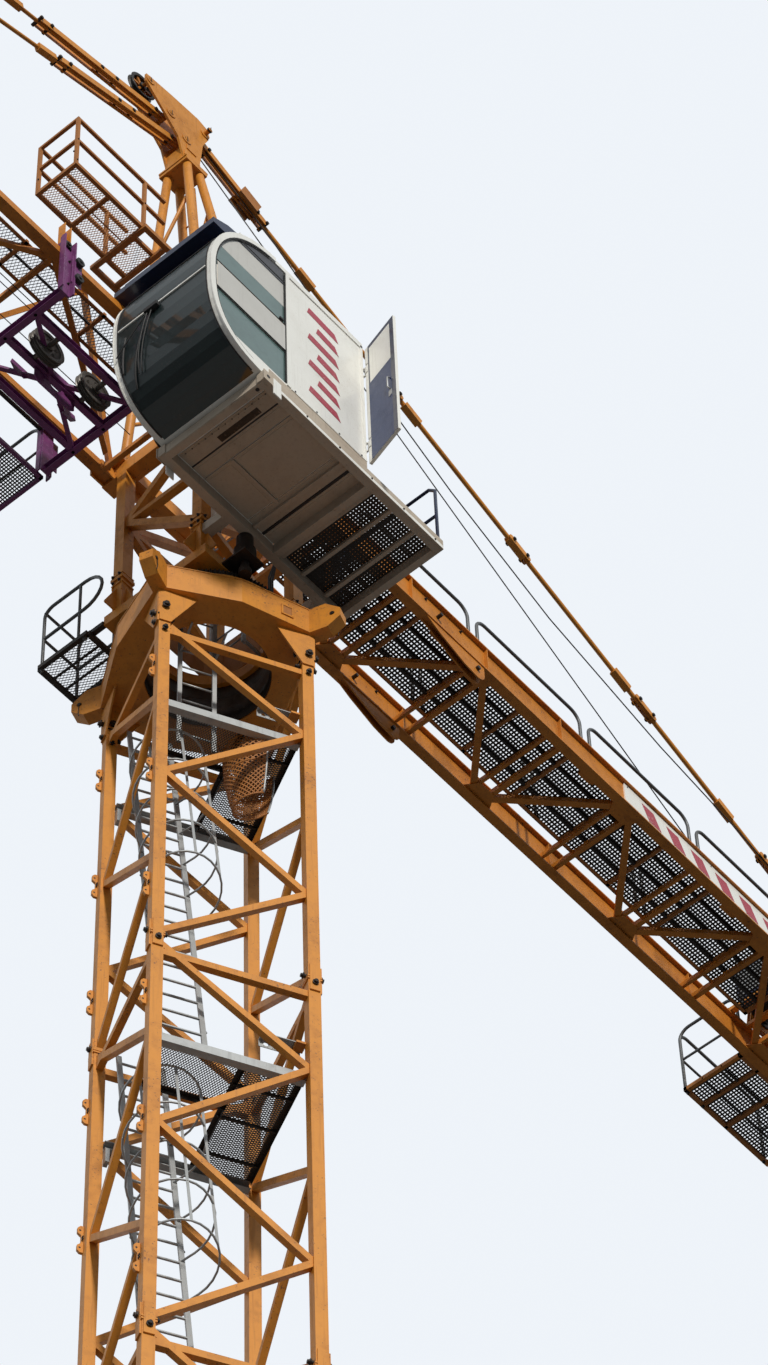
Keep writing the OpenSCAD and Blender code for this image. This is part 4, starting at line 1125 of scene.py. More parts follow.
# ---- counter-jib
def rail_loop(piece, a, b, base, height, r, mat, mid=True):
    """Hand rail with rounded ends between a and b, standing on base."""
    a, b = Vector(a), Vector(b)
    d = (b - a).normalized()
    bend = 0.16
    high = UP * (base + height - bend)
    path = [a + UP * base, a + high] + arc(a + d * bend + high, -d, UP, bend, 90)[1:]
    path += arc(b - d * bend + high, UP, d, bend, 90)[:-1] + [b + high, b + UP * base]
    piece.mat = mat
    piece.tube(path, r, 10)
    if mid:
        piece.tube([a + UP * (base + height * 0.5), b + UP * (base + height * 0.5)], r * 0.8, 8)
    n = max(1, round((b - a).length / 1.4))
    for i in range(1, n):
        c = a + (b - a) * i / n
        piece.tube([c + UP * base, c + UP * (base + height)], r * 0.9, 8)


def build_counter_jib():
    """Deck, rails, girder fittings and side board of the counter-jib."""
    z = GIRDER_Z + 0.13 + SEAT
    deck = Piece("counter_mesh_deck", "upperworks", "dark_steel", DARK, BROWN)
    x0, x1, y0, y1 = -9.85, -1.15, -0.33, 0.558
    deck.mat = 1
    clear = deck_frame(deck, x0, x1, y0, y1, z, 10, 0.045, 0.008)
    deck.mat = 0
    for f in (0.25, 0.5, 0.75):
        y = y0 + (y1 - y0) * f
        deck.block((x0, y - 0.014, z + 0.005), (x1, y + 0.014, z + 0.045))
    for a, b in clear:
        deck.grating((a, y0 + 0.02, z + 0.045), AX, AY, b - a, y1 - y0 - 0.04, 0.045, 0.023, 0.006)
    deck.done(0.0, "counter_deck")

    rails = Piece("counter_handrails", "upperworks", "dark_steel", RAIL, PIN)
    top = GIRDER_Z + 0.18 + 2 * SEAT
    for y in (-0.307, 0.535):
        for i in range(4):
            a = -1.91 - 2.01 * i
            rail_loop(rails, (a, y, 0), (a - 1.85, y, 0), top, 1.0, 0.021, 0)
            rails.mat = 1
            for x in (a, a - 1.85):
                rails.block((x - 0.04, y - 0.02, top), (x + 0.04, y + 0.02, top + 0.012))
    rails.done(0.0, "counter_rail")

    fit = Piece("girder_fittings", "upperworks", "yellow_paint", ORANGE, PIN, WHITE, RED)
    for s in (-1, 1):
        y = s * GIRDER_Y
        # web stiffeners
        fit.mat = 0
        for i in range(9):
            x = -1.3 - 1.3 * i
            if s < 0 or x > -6.0 or x < -9.7:
                for o in (-1, 1):
                    fit.block((x - 0.006, y + o * 0.008, GIRDER_Z + 0.02),
                              (x + 0.006, y + o * 0.055, GIRDER_TOP - 0.02))
        # splice lugs with their pins and bolts
        pts = [(0.55, 0.05), (0.20, 0.05), (-0.55, 0.05)]
        for k in range(9):
            t = radians(180 + 90 * k / 8)
            pts.append((-0.42 + 0.13 * cos(t), -0.16 + 0.13 * sin(t)))
        pts += [(-0.20, -0.26), (0.20, -0.12)]
        pts.reverse()
        for o in (-0.045, 0.029):
            fit.outline(pts, (-3.28, y + o + 0.016, GIRDER_Z), AX, AZ, 0.016)
        fit.mat = 1
        fit.disc((-3.70, y - 0.08, GIRDER_Z - 0.14), AY, 0.028, 0.16, 16)
        fit.disc((-3.08, y - 0.08, GIRDER_Z + 0.22), AY, 0.024, 0.16, 16)
        for x in (-3.48, -2.88):
            for dz in (0.08, 0.36):
                for o in (-1, 1):
                    fit.bolt((x, y + o * 0.008, GIRDER_Z + dz), (0, o, 0), 0.016, 0.024)
        # node plates of the cross bracing
        fit.mat = 0
        for i in range(5 if s > 0 else 4):
            x = (-1.28 if s > 0 else -2.58) - i * 2.6
            fit.outline([(-0.26, 0), (0.26, 0), (0.12, 0.20), (-0.12, 0.20)], (x, s * 0.610, GIRDER_Z + 0.052),
                        AX, (0, -s, 0), 0.010 * s)
            fit.mat = 1
            for dx in (-0.10, 0.10):
                fit.bolt((x + dx, s * 0.57, GIRDER_Z + 0.050), DOWN, 0.014, 0.02)
            fit.mat = 0
    # clasp plates at the deck edge
    for x in (-3.2, -5.8, -8.4):
        fit.block((x - 0.12, 0.50, GIRDER_Z + 0.03), (x + 0.12, 0.60, GIRDER_Z + 0.05))
        fit.block((x - 0.12, 0.50, GIRDER_Z + 0.03), (x - 0.09, 0.52, GIRDER_Z + 0.12))
    fit.done(0.003)

    low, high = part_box("side_board")
    board = Piece("plain_side_board", "upperworks", "white_board", WHITE, RED, PIN)
    board.block(low, high)
    n = 6
    step = (high.x - low.x - 0.5) / n
    mid, h = (low.z + high.z) / 2, (high.z - low.z) * 0.30
    board.mat = 1
    for i in range(n):
        a = low.x + 0.3 + i * step
        board.outline([(0, -h), (0.22, -h), (0.34, h), (0.12, h)], (a, high.y + 0.0015, mid), AX, AZ, -0.0015)
    board.mat = 2
    for x in (low.x + 0.06, high.x - 0.06, (low.x + high.x) / 2):
        for zz in (low.z + 0.03, high.z - 0.03):
            board.disc((x, high.y, zz), AY, 0.010, 0.004, 8)
    board.done(0.0, "side_board")


def build_side_platform():
    z = GIRDER_Z
    p = Piece("side_mesh_platform", "upperworks", "dark_steel", BROWN, DARK, RAIL, ORANGE)
    x0, x1, y0, y1 = -11.78, -10.2, -1.55, -0.68 - SEAT
    p.mat = 3
    section(p, (x0, y0, z), (x0, y1, z), [(0, 0), (0.05, 0), (0.05, 0.06), (0, 0.06)], DOWN)
    p.block((x1 - 0.05, y0, z), (x1, y1, z + 0.06))
    p.mat = 0
    p.block((x0, y0, z), (x1, y0 + 0.05, z + 0.06))
    p.block((x0, y1 - 0.05, z), (x1, y1, z + 0.06))
    p.block((-11.02, y0, z), (-10.97, y1, z + 0.05))
    p.block((-10.56, y0, z), (-10.52, y1, z + 0.05))
    p.mat = 1
    for f in (0.33, 0.66):
        y = y0 + (y1 - y0) * f
        p.block((x0, y - 0.012, z + 0.005), (x1, y + 0.012, z + 0.04))
    p.grating((x0 + 0.05, y0 + 0.05, z + 0.05), AX, AY, x1 - x0 - 0.1, y1 - y0 - 0.1, 0.045, 0.023, 0.006)
    rail_loop(p, (x0 + 0.02, y0 + 0.02, 0), (x1 - 0.02, y0 + 0.02, 0), z + 0.06, 1.02, 0.021, 2)
    for x in (x0 + 0.02, x1 - 0.02):
        rail_loop(p, (x, y0 + 0.02, 0), (x, y1 + 0.02, 0), z + 0.06, 1.02, 0.021, 2)
    p.mat = 1
    for x in (x0 + 0.05, -10.54, x1 - 0.05):
        p.bolt((x, y0 + 0.025, z), DOWN, 0.018, 0.03)
    p.done(0.002, "side_platform")


def build_ballast_and_winch():
    blocks = Piece("cast_ballast", "upperworks", "concrete", CONCRETE, PIN)
    z = GIRDER_TOP + SEAT
    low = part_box("counterweights")[0]
    for i in range(3):
        x = low.x + i * 0.43
        blocks.mat = 0
        shape = [(-0.50, low.z), (0.50, low.z), (0.54, low.z + 0.06), (0.54, z),
                 (0.70, z), (0.70, z + 0.17), (0.66, z + 0.2),
                 (-0.66, z + 0.2), (-0.70, z + 0.17), (-0.70, z), (-0.54, z), (-0.54, low.z + 0.06)]
        blocks.prism([(x + 0.002, y, zz) for y, zz in shape], [(x + 0.408, y, zz) for y, zz in shape])
        blocks.mat = 1
        for y in (-0.35, 0.35):
            eye = ((-0.06, 0.15), (-0.05, 0.245), (0, 0.275), (0.05, 0.245), (0.06, 0.15))
            blocks.tube([(x + 0.2, y + dy, z + dz) for dy, dz in eye], 0.012, 8)
    blocks.done(0.012, "counterweights")

    w = Piece("rope_winch", "upperworks", "machine_steel", ZINC, CABLE, GREASE, NAVY, YELLOW)
    w.mat = 4
    for y in (-0.67, 0.57):
        w.block((-11.05, y, z), (-9.9, y + 0.10, z + 0.06))
    for x in (-11.05, -10.67, -10.31, -9.98):
        w.block((x, -0.67, z + 0.004), (x + 0.08, 0.67, z + 0.056))
    c = Vector((-10.45, -0.5, z + 0.42))
    w.mat = 2
    for y in (0.0, 0.98):
        w.turned(c + Vector((0, y, 0)), AY,
                 [(0.05, 0), (0.255, 0), (0.26, 0.006), (0.26, 0.014), (0.255, 0.02), (0.05, 0.02)], 40)
    w.mat = 1
    prof = [(0.10, 0.02)]
    n = 36
    for k in range(n):
        y = 0.02 + 0.96 * k / n
        prof += [(0.186, y + 0.002), (0.198, y + 0.96 / n / 2), (0.186, y + 0.96 / n - 0.002)]
    prof.append((0.10, 0.98))
    w.turned(c, AY, prof, 36)
    w.mat = 4
    for y in (-0.56, 0.50):
        for dy in (0.06, 0.012):
            w.outline([(-0.22, 0), (0.22, 0), (0.12, 0.46), (0.06, 0.62), (-0.06, 0.62), (-0.12, 0.46)],
                      (-10.45, y + dy, z + 0.06), AX, AZ, 0.012)
    w.mat = 3
    w.turned((-10.88, -0.30, z + 0.30), AY,
             [(0.03, 0), (0.15, 0.01), (0.16, 0.04), (0.16, 0.42), (0.15, 0.46),
              (0.12, 0.47), (0.12, 0.56), (0.03, 0.57)], 28)
    for t in turns(16):
        x, zz = -10.88 + 0.155 * cos(t), z + 0.30 + 0.155 * sin(t)
        w.block((x - 0.004, -0.24, zz - 0.004), (x + 0.012, 0.10, zz + 0.012))
    w.block((-11.01, -0.20, z + 0.06), (-10.75, 0.08, z + 0.16))
    w.block((-10.14, -0.45, z + 0.06), (-9.92, 0.25, z + 0.60))
    w.mat = 0
    w.block((-9.92, -0.40, z + 0.12), (-9.915, 0.20, z + 0.55))
    w.done(0.003, "hoist_winch")

    rope = Piece("hoist_rope", "upperworks", "machine_steel", CABLE)
    rope.tube([(-10.35, 0.0, z + 0.42 + 0.17), (1.14, 0.0, APEX + 0.075)], 0.008, 6)
    rope.done()


build_jib()
build_tie_details()
build_counter_jib()
build_side_platform()
build_ballast_and_winch()


# ---- cab
def cab_profile(o, low=-90, high=90, step=5):
    """Front curve of the cab's side outline, drawn inwards by o, from the top down."""
    zc, rx, rz = CAB_Z + CAB_H / 2, CAB_NOSE - o, CAB_H / 2 - o
    pts = []
    for k in range(int((high - low) / step) + 1):
        a = radians(high - k * step)
        if a >= 0:
            pts.append((CAB_MID + rx * cos(a), zc + rz * sin(a)))
        else:
            c, s = cos(a), -sin(a)
            pts.append((CAB_MID + rx * max(0.0, c) ** (2 / 3), zc - rz * s ** (2 / 3)))
    return pts


def arch(piece, o0, o1, y0, y1, low=-90, high=90):
    """Curved flat following the cab's front between two offsets."""
    a, b = cab_profile(o0, low, high), cab_profile(o1, low, high)
    for i in range(len(a) - 1):
        loop = [a[i], a[i + 1], b[i + 1], b[i]]
        piece.prism([(x, y0, z) for x, z in loop], [(x, y1, z) for x, z in loop])


def profile_x(z, o=0.0):
    """Place of the cab's front curve at one height."""
    pts = cab_profile(o, -90, 90, 2)
    for (xa, za), (xb, zb) in zip(pts, pts[1:]):
        if zb <= z <= za:
            return xa + (xb - xa) * (za - z) / max(1e-6, za - zb)
    return CAB_MID


def build_cab_sides():
    t = MAST_TOP
    rings = Piece("cab_arch_rings", "upperworks", "cab_white", WHITE, RUBBER)
    for y0, y1 in ((CAB_OUT + SEAT, CAB_OUT + 0.014), (CAB_IN - 0.014, CAB_IN - SEAT)):
        rings.mat = 0
        arch(rings, -0.004, 0.066, y0, y1)
        rings.block((1.29, y0, CAB_Z + 0.23), (1.345, y1, CAB_Z + 2.44))
        rings.mat = 1
        arch(rings, 0.066, 0.084, y0 + 0.001, y1 - 0.005, -80, 84)
        rings.block((1.345, y0 + 0.001, CAB_Z + 0.26), (1.358, y1 - 0.005, CAB_Z + 2.42))
        for z in (0.862, 1.360, 2.205):
            rings.block((1.345, y0 + 0.001, CAB_Z + z),
                        (profile_x(CAB_Z + z, 0.084), y1 - 0.005, CAB_Z + z + 0.012))
    # frame of the front pane along both edges
    for y0, y1 in ((CAB_OUT - 0.062, CAB_OUT - 0.048), (CAB_IN + 0.048, CAB_IN + 0.062)):
        rings.mat = 1
        arch(rings, -0.006, 0.010, y0, y1, -80, 80)
    rings.done()

    sides = Piece("cab_side_panels", "upperworks", "cab_white", WHITE, BEIGE, RED, PIN, RUBBER, ZINC, PALE_PANEL_AND_REFLECTION)
    for s, y in ((1, CAB_OUT + SEAT), (-1, CAB_IN - SEAT)):
        def slab(x0, x1, z0, z1, d0, d1):
            sides.block((x0, y + s * d0, CAB_Z + z0), (x1, y + s * d1, CAB_Z + z1))

        sides.mat = 1
        slab(CAB_POST, 2.40, 0.870, 1.356, 0.0, 0.004)
        sides.mat = 6
        slab(CAB_POST, 2.40, 0.880, 1.350, 0.004, 0.005)
        sides.mat = 1
        slab(0.11, 1.62, 0.004, 0.20, 0.0, 0.010)
        sides.mat = 0
        slab(0.11, 1.285, 0.205, 0.245, 0.0, 0.016)
        slab(0.11, 0.145, 0.245, 2.44, 0.0, 0.012)
        slab(0.11, 1.285, 2.40, 2.44, 0.0, 0.012)
        sides.mat = 3
        for x in (0.20, 0.55, 0.90, 1.23):
            for z in (0.06, 0.225):
                sides.disc((x, y + s * (0.010 if z < 0.2 else 0.016), CAB_Z + z), (0, s, 0), 0.011, 0.006, 8)
        # plain slanted stripes, one above another
        sides.mat = 2
        for k in range(7):
            z, long = CAB_Z + 0.50 + 0.255 * k, 0.50 if k % 2 == 0 else 0.36
            sides.outline([(0, 0), (long, 0.045), (long - 0.03, 0.165), (0.06, 0.125)],
                          (0.50, y + s * 0.0015, z), AX, AZ, 0.0015 if s < 0 else -0.0015)
    # window catch and rear edge seam
    sides.mat = 4
    sides.block((1.40, CAB_OUT + 0.005, CAB_Z + 1.375), (1.46, CAB_OUT + 0.028, CAB_Z + 1.405))
    sides.block((1.286, CAB_OUT + SEAT, CAB_Z + 0.25), (1.291, CAB_OUT + 0.003, CAB_Z + 2.43))
    sides.done(0.002)

    # painted reflection and painted shade: green, pale grey and dark bands laid just inside the side glass
    # stand for reflections in it and the shaded interior behind it
    tint = Piece("cab_window_painted_reflections", "upperworks", "cab_window", GREEN_GLASS_AND_REFLECTION, PALE_PANEL_AND_REFLECTION, DARK_SHADE_AND_REFLECTION)
    for y0, y1 in ((CAB_OUT - 0.0155, CAB_OUT - 0.0125), (CAB_IN + 0.0125, CAB_IN + 0.0155)):
        for m, (z0, z1) in enumerate(((t + 1.98, t + 3.47), (t + 3.47, t + 3.90), (t + 3.90, t + 4.2))):
            tint.mat = m
            d = 0.001 * m if y0 > 1.5 else -0.001 * m
            low_x, high_x = profile_x(z0, 0.085), profile_x(min(z1, t + 4.14), 0.085)
            edge = [(x, z) for x, z in cab_profile(0.085) if z0 < z < z1 and x > CAB_POST]
            loop = [(CAB_POST, z0), (CAB_POST, min(z1, edge[0][1] if m == 2 else z1))]
            loop += ([] if m == 2 else [(high_x, z1)]) + edge + [(low_x, z0)]
            tint.prism([(x, y0 + d, z) for x, z in loop], [(x, y1 + d, z) for x, z in loop])
    tint.done()


def build_cab_front():
    t = MAST_TOP
    front = Piece("cab_front_fittings", "upperworks", "machine_steel", RUBBER, ZINC, WHITE, NAVY)
    ya, yb = CAB_IN + 0.062, CAB_OUT - 0.062
    # glazing bar, seam and head strip of the front pane
    for z, h, m in ((t + 2.90, 0.022, 2), (t + 3.62, 0.012, 0)):
        front.mat = m
        x = profile_x(z)
        front.block((x - 0.010, ya, z - h / 2), (x + 0.012, yb, z + h / 2))
    front.mat = 2
    x = profile_x(t + 4.06)
    front.block((x - 0.05, ya - 0.05, t + 4.06), (x + 0.02, yb + 0.05, t + 4.12))
    # wipers: pivot, arms and blades following the pane
    hub = t + 2.84
    front.mat = 0
    front.block((profile_x(hub) + 0.005, 1.40, hub - 0.03), (profile_x(hub) + 0.055, 1.58, hub + 0.03))

    def on_pane(y0, y1, z0, z1, off, r):
        path = []
        for k in range(12):
            z = z0 + (z1 - z0) * k / 11
            path.append((profile_x(z) + off, y0 + (y1 - y0) * k / 11, z))
        front.tube(path, r, 6)

    for y0, y1, drop in ((1.44, 1.20, 0.78), (1.50, 1.24, 0.78), (1.47, 0.99, 0.42)):
        on_pane(y0, y1, hub, hub - drop, 0.030, 0.008)
    on_pane(1.36, 1.10, t + 2.62, t + 1.96, 0.016, 0.012)
    on_pane(1.12, 1.02, t + 2.66, t + 2.18, 0.016, 0.012)
    # two lamps under the visor
    front.mat = 1
    x = profile_x(t + 4.02)
    for y in (1.12, 2.08):
        front.block((x + 0.02, y - 0.07, t + 3.98), (x + 0.10, y + 0.07, t + 4.08))
    front.done(0.001)

    roof = Piece("cab_roof_trim", "upperworks", "roof_blue", NAVY, PIN, ZINC)
    roof.block((2.362, CAB_IN - 0.002, CAB_TOP - 0.245), (2.376, CAB_OUT - 0.078, CAB_TOP - 0.145))
    for y in (CAB_IN + 0.05, CAB_OUT - 0.14):
        roof.bar((0.12, y, CAB_TOP + 0.055), (1.45, y, CAB_TOP + 0.055), 0.03, 0.03)
    roof.mat = 1
    for x in (0.15, 0.60, 1.05, 1.42):
        for y in (CAB_IN + 0.05, CAB_OUT - 0.14):
            roof.bolt((x, y, CAB_TOP + 0.07), AZ, 0.011, 0.014)
    roof.mat = 0
    for y in (1.15, 1.55, 1.95):
        roof.bar((2.19, y, CAB_TOP - 0.238), (2.36, y, CAB_TOP - 0.232), 0.05, 0.012)
    roof.done(0.002)


def build_cab_floor():
    """Everything under the cab, and the mesh walkway behind it."""
    t = MAST_TOP
    under = Piece("cab_underside", "upperworks", "beige_paint", BEIGE, RUBBER,
                  WHITE, ZINC, PIN, DARK, NAVY, GREASE)
    z = CAB_Z - 0.010
    # large pressed panels, a rib between them and cover strips
    for x0, x1, y0, y1 in ((0.50, 1.155, 1.385, 2.195), (0.50, 1.155, 0.995, 1.345),
                           (1.175, 1.345, 0.995, 2.195),
                           (1.365, 1.555, 0.995, 2.195), (0.285, 0.490, 0.995, 2.195),
                           (0.088, 0.245, 0.995, 2.215)):
        under.block((x0, y0, z), (x1, y1, CAB_Z - SEAT))
        under.block((x0 + 0.03, y0 + 0.03, z - 0.004), (x1 - 0.03, y1 - 0.03, z))
    under.block((0.46, 1.350, z - 0.022), (1.16, 1.380, z + 0.009))
    under.bar((0.400, 0.995, z - 0.025), (0.400, 2.215, z - 0.025), 0.045, 0.05)
    under.bar((1.160, 0.995, z - 0.003), (1.160, 2.215, z - 0.003), 0.014, 0.012)
    under.mat = 1
    under.block((0.250, 0.99, z - 0.001), (0.280, 2.215, z + 0.009))
    under.block((1.345, 0.995, z + 0.002), (1.365, 2.195, z + 0.009))
    under.mat = 7
    under.block((1.385, 1.43, z - 0.007), (1.465, 1.97, z - 0.004))
    under.mat = 1
    for k in range(13):
        under.disc((1.525, 1.06 + 0.09 * k, z - 0.004), DOWN, 0.008, 0.002, 8)
    # white tabs at the ends of the front cross channel, and its pin holes
    outer, inner, low = CAB_OUT + 0.05 + SEAT, CAB_IN - 0.06 - SEAT, BEARER_Z - 0.008
    for s, y in ((1, outer), (-1, inner)):
        under.mat = 2
        under.block((1.50, y, t + 1.43), (1.615, y + s * 0.012, t + 1.70))
        under.mat = 0
        under.block((1.625, y, low), (1.760, y + s * 0.010, t + 1.715))
        under.mat = 1
        under.disc((1.695, y + s * 0.010, t + 1.635), (0, s, 0), 0.024, 0.003, 16)
    under.mat = 0
    under.block((1.65 - SEAT, 0.93, low), (1.73 + SEAT, 2.28, BEARER_Z - SEAT))
    under.block((1.73 + SEAT, 0.93, BEARER_Z - SEAT), (1.738, 2.28, t + 1.70))
    under.mat = 1
    under.disc((1.69, 2.18, low), DOWN, 0.022, 0.003, 16)
    # painted highlight: a white strip along the outer beam stands for its sunlit edge; with its bolts
    under.mat = 2
    under.block((-1.03, outer, BEARER_Z - SEAT), (1.49, CAB_OUT + 0.056, t + 1.610))
    under.mat = 0
    under.block((-1.03, CAB_OUT + 0.030, low), (1.49, CAB_OUT + 0.056, BEARER_Z - SEAT))
    under.mat = 4
    for x in (-0.9, -0.4, 0.1, 0.6, 1.1):
        under.bolt((x, CAB_OUT + 0.056, t + 1.59), AY, 0.010, 0.012)
    # mesh floor of the walkway behind the cab
    under.mat = 5
    under.grating((-0.955, 0.985, t + 1.705), AX, AY, 0.96, 1.23, 0.040, 0.028, 0.006)
    # guard rail round the walkway
    under.mat = 6
    x, y, h = -1.02, CAB_IN + 0.02, t + 1.72
    under.tube([(x, y, h), (x, y, h + 0.96), (x, y + 0.08, h + 1.05), (x, CAB_OUT - 0.08, h + 1.05),
                (x, CAB_OUT, h + 0.96), (x, CAB_OUT, h)], 0.019, 8)
    under.tube([(x, y, h + 0.5), (x, CAB_OUT, h + 0.5)], 0.019, 8)
    under.done(0.0015)


def build_cab_frame():
    z = BEARER_Z
    bearers = Piece("cab_bearer_frame", "upperworks", "beige_paint", BEIGE)
    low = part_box("cab_beams")[0]
    for y in (CAB_IN - 0.01, CAB_OUT):
        bearers.block((-1.04, y - 0.05, z), (1.75, y + 0.05, CAB_Z))
    for x in (-1.04, 0.01, 1.65):
        bearers.block((x, CAB_IN + 0.04, z), (x + 0.08, CAB_OUT - 0.05, CAB_Z))
    for x in (-0.72, 0.72):
        bearers.block((x - 0.06, low.y, z), (x + 0.06, CAB_IN - 0.06, z + 0.14))
    for x in (-0.745, -0.385, -0.075):
        bearers.block((x, CAB_IN + 0.04, z + 0.08), (x + 0.045, CAB_OUT - 0.05, z + 0.13))
    bearers.done(0.003, "cab_beams")


def build_door():
    hinge = Vector((0.075, CAB_OUT + 0.02, 0))
    door = Piece("door_skins", "cab_door", "cab_white", NAVY, WHITE, BLUE, ZINC)
    door.turn = Matrix.Translation(hinge) @ Matrix.Rotation(radians(75), 4, "Z")
    low, high = CAB_Z + 0.18, CAB_TOP - 0.15
    middle = low + 1.44
    for y0, y1 in ((-0.0205, -0.0183), (0.0173, 0.0193)):
        # navy frame, white upper panel and blue lower panel
        for m, x0, x1, z0, z1 in ((0, 0.070, 0.536, high - 0.07, high - 0.004),
                                  (0, 0.470, 0.536, low + 0.004, high - 0.07),
                                  (0, 0.070, 0.095, middle, high - 0.07),
                                  (1, 0.095, 0.470, middle, high - 0.07),
                                  (2, 0.070, 0.470, low + 0.004, middle)):
            door.mat = m
            door.block((x0, y0, z0), (x1, y1, z1))
    door.mat = 3
    door.tube([(0.44, -0.0205, low + 0.86), (0.44, -0.055, low + 0.88), (0.44, -0.055, low + 1.06),
               (0.44, -0.0205, low + 1.08)], 0.009, 8)
    door.block((0.415, -0.026, low + 0.74), (0.465, -0.0183, low + 0.84))
    door.done()


build_cab_sides()
build_cab_front()
build_cab_floor()
build_cab_frame()
build_door()


# ---- trolley
def build_trolley():
    """Fittings, channels, rope sheaves and basket of the trolley."""
    z = TROLLEY_Z
    fit = Piece("trolley_fittings", "trolley", "purple_paint", PURPLE, PIN, GREASE, RUBBER, ORANGE)
    # centre plate with its hole, built as a ring of flats round the opening
    rim, hole = [], []
    n = 24
    for a in turns(n):
        c, s = cos(a), sin(a)
        m = max(abs(c) / 0.30, abs(s) / 0.24)
        rim.append((2.405 + c / m, z - 0.05 + s / m))
        hole.append((2.405 + 0.105 * c, z - 0.05 + 0.105 * s))
    for k in range(n):
        j = (k + 1) % n
        loop = [rim[k], rim[j], hole[j], hole[k]]
        fit.prism([(x, -0.006, zz) for x, zz in loop], [(x, 0.006, zz) for x, zz in loop])
    for y in (-0.17, 0.16):
        for x in SHEAVE_X:
            fit.outline([(-0.12, 0.055), (0.12, 0.055), (0.14, -0.02), (0.07, -0.11),
                         (-0.07, -0.11), (-0.14, -0.02)],
                        (x, y, z), AX, AZ, -0.012)
    # diagonal stays inside the frame
    for s in (-1, 1):
        fit.bar((1.72, s * 0.40, z - 0.03), (2.30, s * 0.06, z - 0.03), 0.05, 0.04)
        fit.bar((3.09, s * 0.40, z - 0.03), (2.51, s * 0.06, z - 0.03), 0.05, 0.04)
    # long guard bars between the hangers on the far side
    fit.mat = 3
    for dz in (0.72, 1.04):
        fit.bar((1.68, -0.852, z + dz), (3.13, -0.852, z + dz), 0.034, 0.045)
    fit.mat = 1
    for x in TROLLEY_X:
        for s in (-1, 1):
            for dz in (0.16, 0.60, 0.84):
                for dx in (-0.04, 0.04):
                    fit.bolt((x + dx, s * TROLLEY_SIDE, z + dz), (0, s, 0), 0.014, 0.020)
            # wheel hubs on the hanger plates
            fit.disc((x, s * TROLLEY_SIDE, z + 0.888), (0, s, 0), 0.050, 0.026, 18)
            fit.disc((x, s * 0.863, z + 0.888), (0, s, 0), 0.024, 0.014, 14)
            for y in (0.43, 0.0, -0.43):
                fit.bolt((x, y, z - 0.058), DOWN, 0.014, 0.018)
    # rollers and their plates at the trolley's sides
    for x, s in ((3.02, 1), (1.53, -1)):
        fit.mat = 3
        for dz in (0.30, 0.62):
            fit.disc((x, s * 0.880, z + dz), (0, s, 0), 0.058, 0.045, 24)
            fit.disc((x, s * 0.925, z + dz), (0, s, 0), 0.020, 0.012, 12)
        fit.mat = 0
        fit.block((x - 0.07, s * 0.862, z + 0.20), (x + 0.075, s * 0.872, z + 0.72))
    fit.done(0.002)

    beams = Piece("trolley_channels", "trolley", "purple_paint", PURPLE)
    jib_clear = JIB_Z + 0.23
    for x in TROLLEY_X:
        beams.block((x - 0.040, -TROLLEY_SIDE, z - 0.058), (x - 0.032, TROLLEY_SIDE, z + 0.058))
        for dz in (-0.058, 0.050):
            beams.block((x - 0.032, -TROLLEY_SIDE, z + dz), (x + 0.040, TROLLEY_SIDE, z + dz + 0.008))
        for s in (-1, 1):
            y = s * 0.825
            beams.block((x - 0.08, y - 0.012, z - 0.06), (x + 0.08, y + 0.012, jib_clear))
            for k in (-1, 1):
                beams.block((x + k * 0.08 - 0.008, s * 0.836, z - 0.06),
                            (x + k * 0.08 + 0.008, s * 0.895, jib_clear))
            beams.disc((x, s * 0.814, JIB_Z + 0.14), (0, -s, 0), 0.070, 0.060, 28)
    for y in (-0.43, 0.0, 0.43):
        beams.block((1.70, y - 0.035, z - 0.048), (3.12, y - 0.028, z + 0.048))
        for dz in (-0.048, 0.041):
            beams.block((1.70, y - 0.028, z + dz), (3.12, y + 0.035, z + dz + 0.007))
    beams.done(0.002, "trolley_frame")

    sheaves = Piece("trolley_rope_sheaves", "trolley", "machine_steel", WORN, PURPLE)
    for x in SHEAVE_X:
        sheaves.mat = 0
        for y in (0.167, 0.217):
            sheaves.turned((x, y - 0.002, z), AY,
                           [(0.175, 0.006), (0.222, 0.002), (0.230, 0.008), (0.208, 0.021), (0.202, 0.025),
                                                  (0.208, 0.029), (0.230, 0.042), (0.222, 0.048),
                                                  (0.175, 0.044)], 44, True)
            sheaves.turned((x, y + 0.016, z), AY,
                           [(0.05, 0.0), (0.12, 0.004), (0.178, 0.0), (0.178, 0.014),
                            (0.12, 0.010), (0.05, 0.014)], 44, True)
            for a in turns(5, 0.3):
                sheaves.disc((x + 0.115 * cos(a), y + 0.014, z + 0.115 * sin(a)), AY, 0.022, 0.018, 14, 0.017)
            sheaves.disc((x, y - 0.002, z), AY, 0.062, 0.05, 24)
        sheaves.disc((x, 0.045 + SEAT, z), AY, 0.030, 0.34 - 2 * SEAT, 20)
    sheaves.done(0.001, "trolley_sheaves")

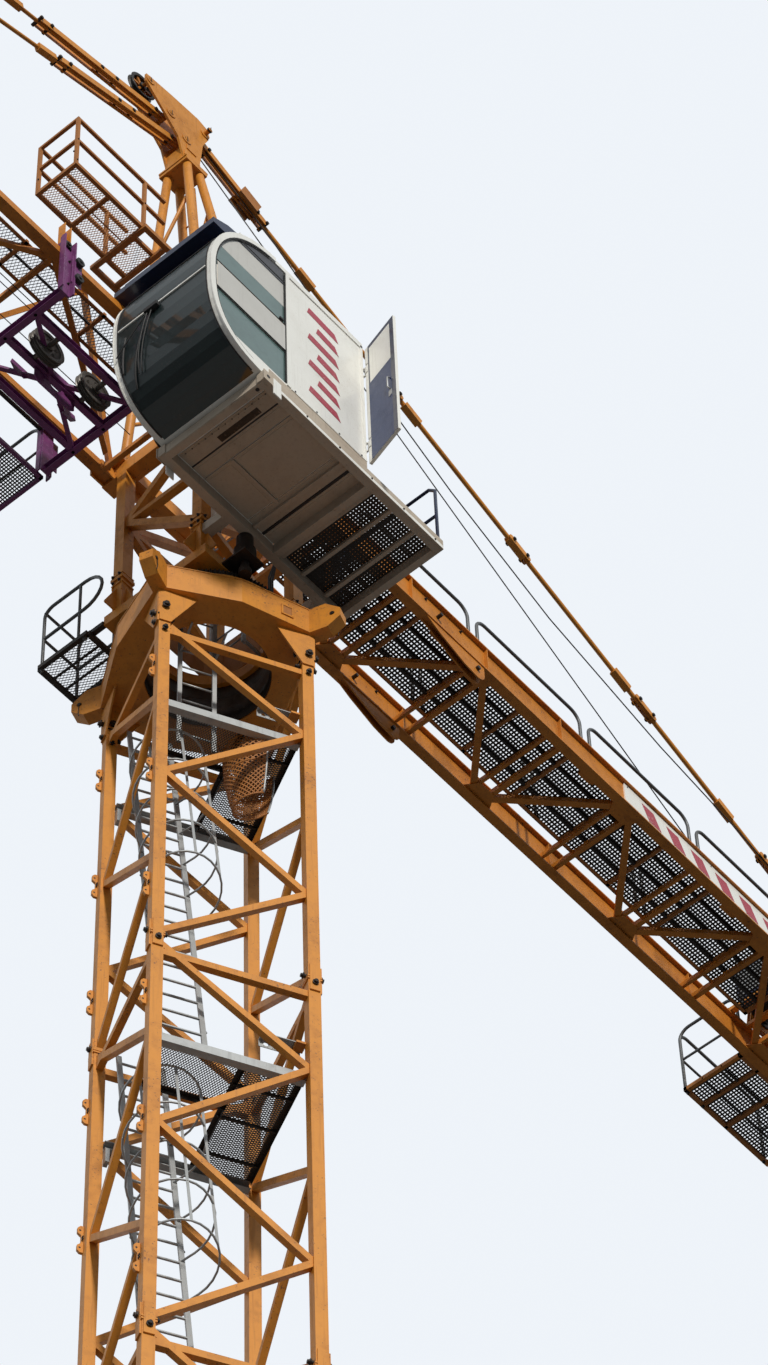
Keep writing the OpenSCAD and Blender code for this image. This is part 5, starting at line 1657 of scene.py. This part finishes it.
    b = Piece("trolley_mesh_basket", "trolley", "dark_steel", PURPLE, DARK, RAIL)
    x0, x1, y0, y1 = 1.62, 3.19, -1.70, -0.895 - SEAT
    low = z - 0.05
    for p, q in (((x0, y0 + 0.02), (x1, y0 + 0.02)), ((x1 - 0.02, y0), (x1 - 0.02, y1)),
                 ((x1, y1 - 0.02), (x0, y1 - 0.02)), ((x0 + 0.02, y1), (x0 + 0.02, y0))):
        b.bar((*p, low + 0.025), (*q, low + 0.025), 0.04, 0.05)
    b.block(((x0 + x1) / 2 - 0.02, y0, low), ((x0 + x1) / 2 + 0.02, y1, low + 0.05))
    b.mat = 1
    b.grating((x0 + 0.04, y0 + 0.04, low + 0.045), AX, AY, x1 - x0 - 0.08, y1 - y0 - 0.08, 0.034, 0.014, 0.006)
    rail_loop(b, (x0 + 0.04, y0 + 0.02, 0), (x1 - 0.04, y0 + 0.02, 0), z, 1.0, 0.019, 2)
    for x in (x0 + 0.04, x1 - 0.04):
        rail_loop(b, (x, y0 + 0.02, 0), (x, -0.96, 0), z, 1.0, 0.019, 2)
    # mesh skirt along the outer side
    b.mat = 1
    b.grating((x0 + 0.06, y0 + 0.02, z + 0.03), AX, AZ, x1 - x0 - 0.12, 0.20, 0.05, 0.008, 0.004)
    b.done(0.0, "trolley_basket")


build_trolley()


def lay_floor():
    """Pale ground to the camera, darker to the light it throws back, and clear from below."""
    mesh = bpy.data.meshes.new("floor")
    bm = bmesh.new()
    verts = [bm.verts.new((x, y, 0)) for x, y in ((-24, -24), (30, -24), (30, 24), (-24, 24))]
    bm.faces.new(verts)
    bm.to_mesh(mesh)
    bm.free()
    mat = bpy.data.materials.new("pale_floor")
    mat.use_nodes = True
    tree = mat.node_tree
    shader = tree.nodes["Principled BSDF"]
    shader.inputs["Roughness"].default_value = 0.9
    path, clear = add_node(tree, "ShaderNodeLightPath"), add_node(tree, "ShaderNodeBsdfTransparent")
    side, mix = add_node(tree, "ShaderNodeNewGeometry"), add_node(tree, "ShaderNodeMixShader")
    tone = add_node(tree, "ShaderNodeMix", data_type="RGBA")
    tone.inputs[6].default_value = (0.20, 0.195, 0.19, 1)
    tone.inputs[7].default_value = (0.62, 0.63, 0.64, 1)
    connect(tree,
            (path.outputs["Is Camera Ray"], tone.inputs["Factor"]),
            (tone.outputs[2], shader.inputs["Base Color"]),
            (side.outputs["Backfacing"], mix.inputs["Fac"]), (shader.outputs[0], mix.inputs[1]),
            (clear.outputs[0], mix.inputs[2]),
            (mix.outputs[0], tree.nodes["Material Output"].inputs["Surface"]))
    mesh.materials.append(mat)
    floor = bpy.data.objects.new("floor", mesh)
    bpy.context.scene.collection.objects.link(floor)


set_camera()
set_light()
lay_floor()
bpy.context.scene.view_settings.view_transform = "Standard"
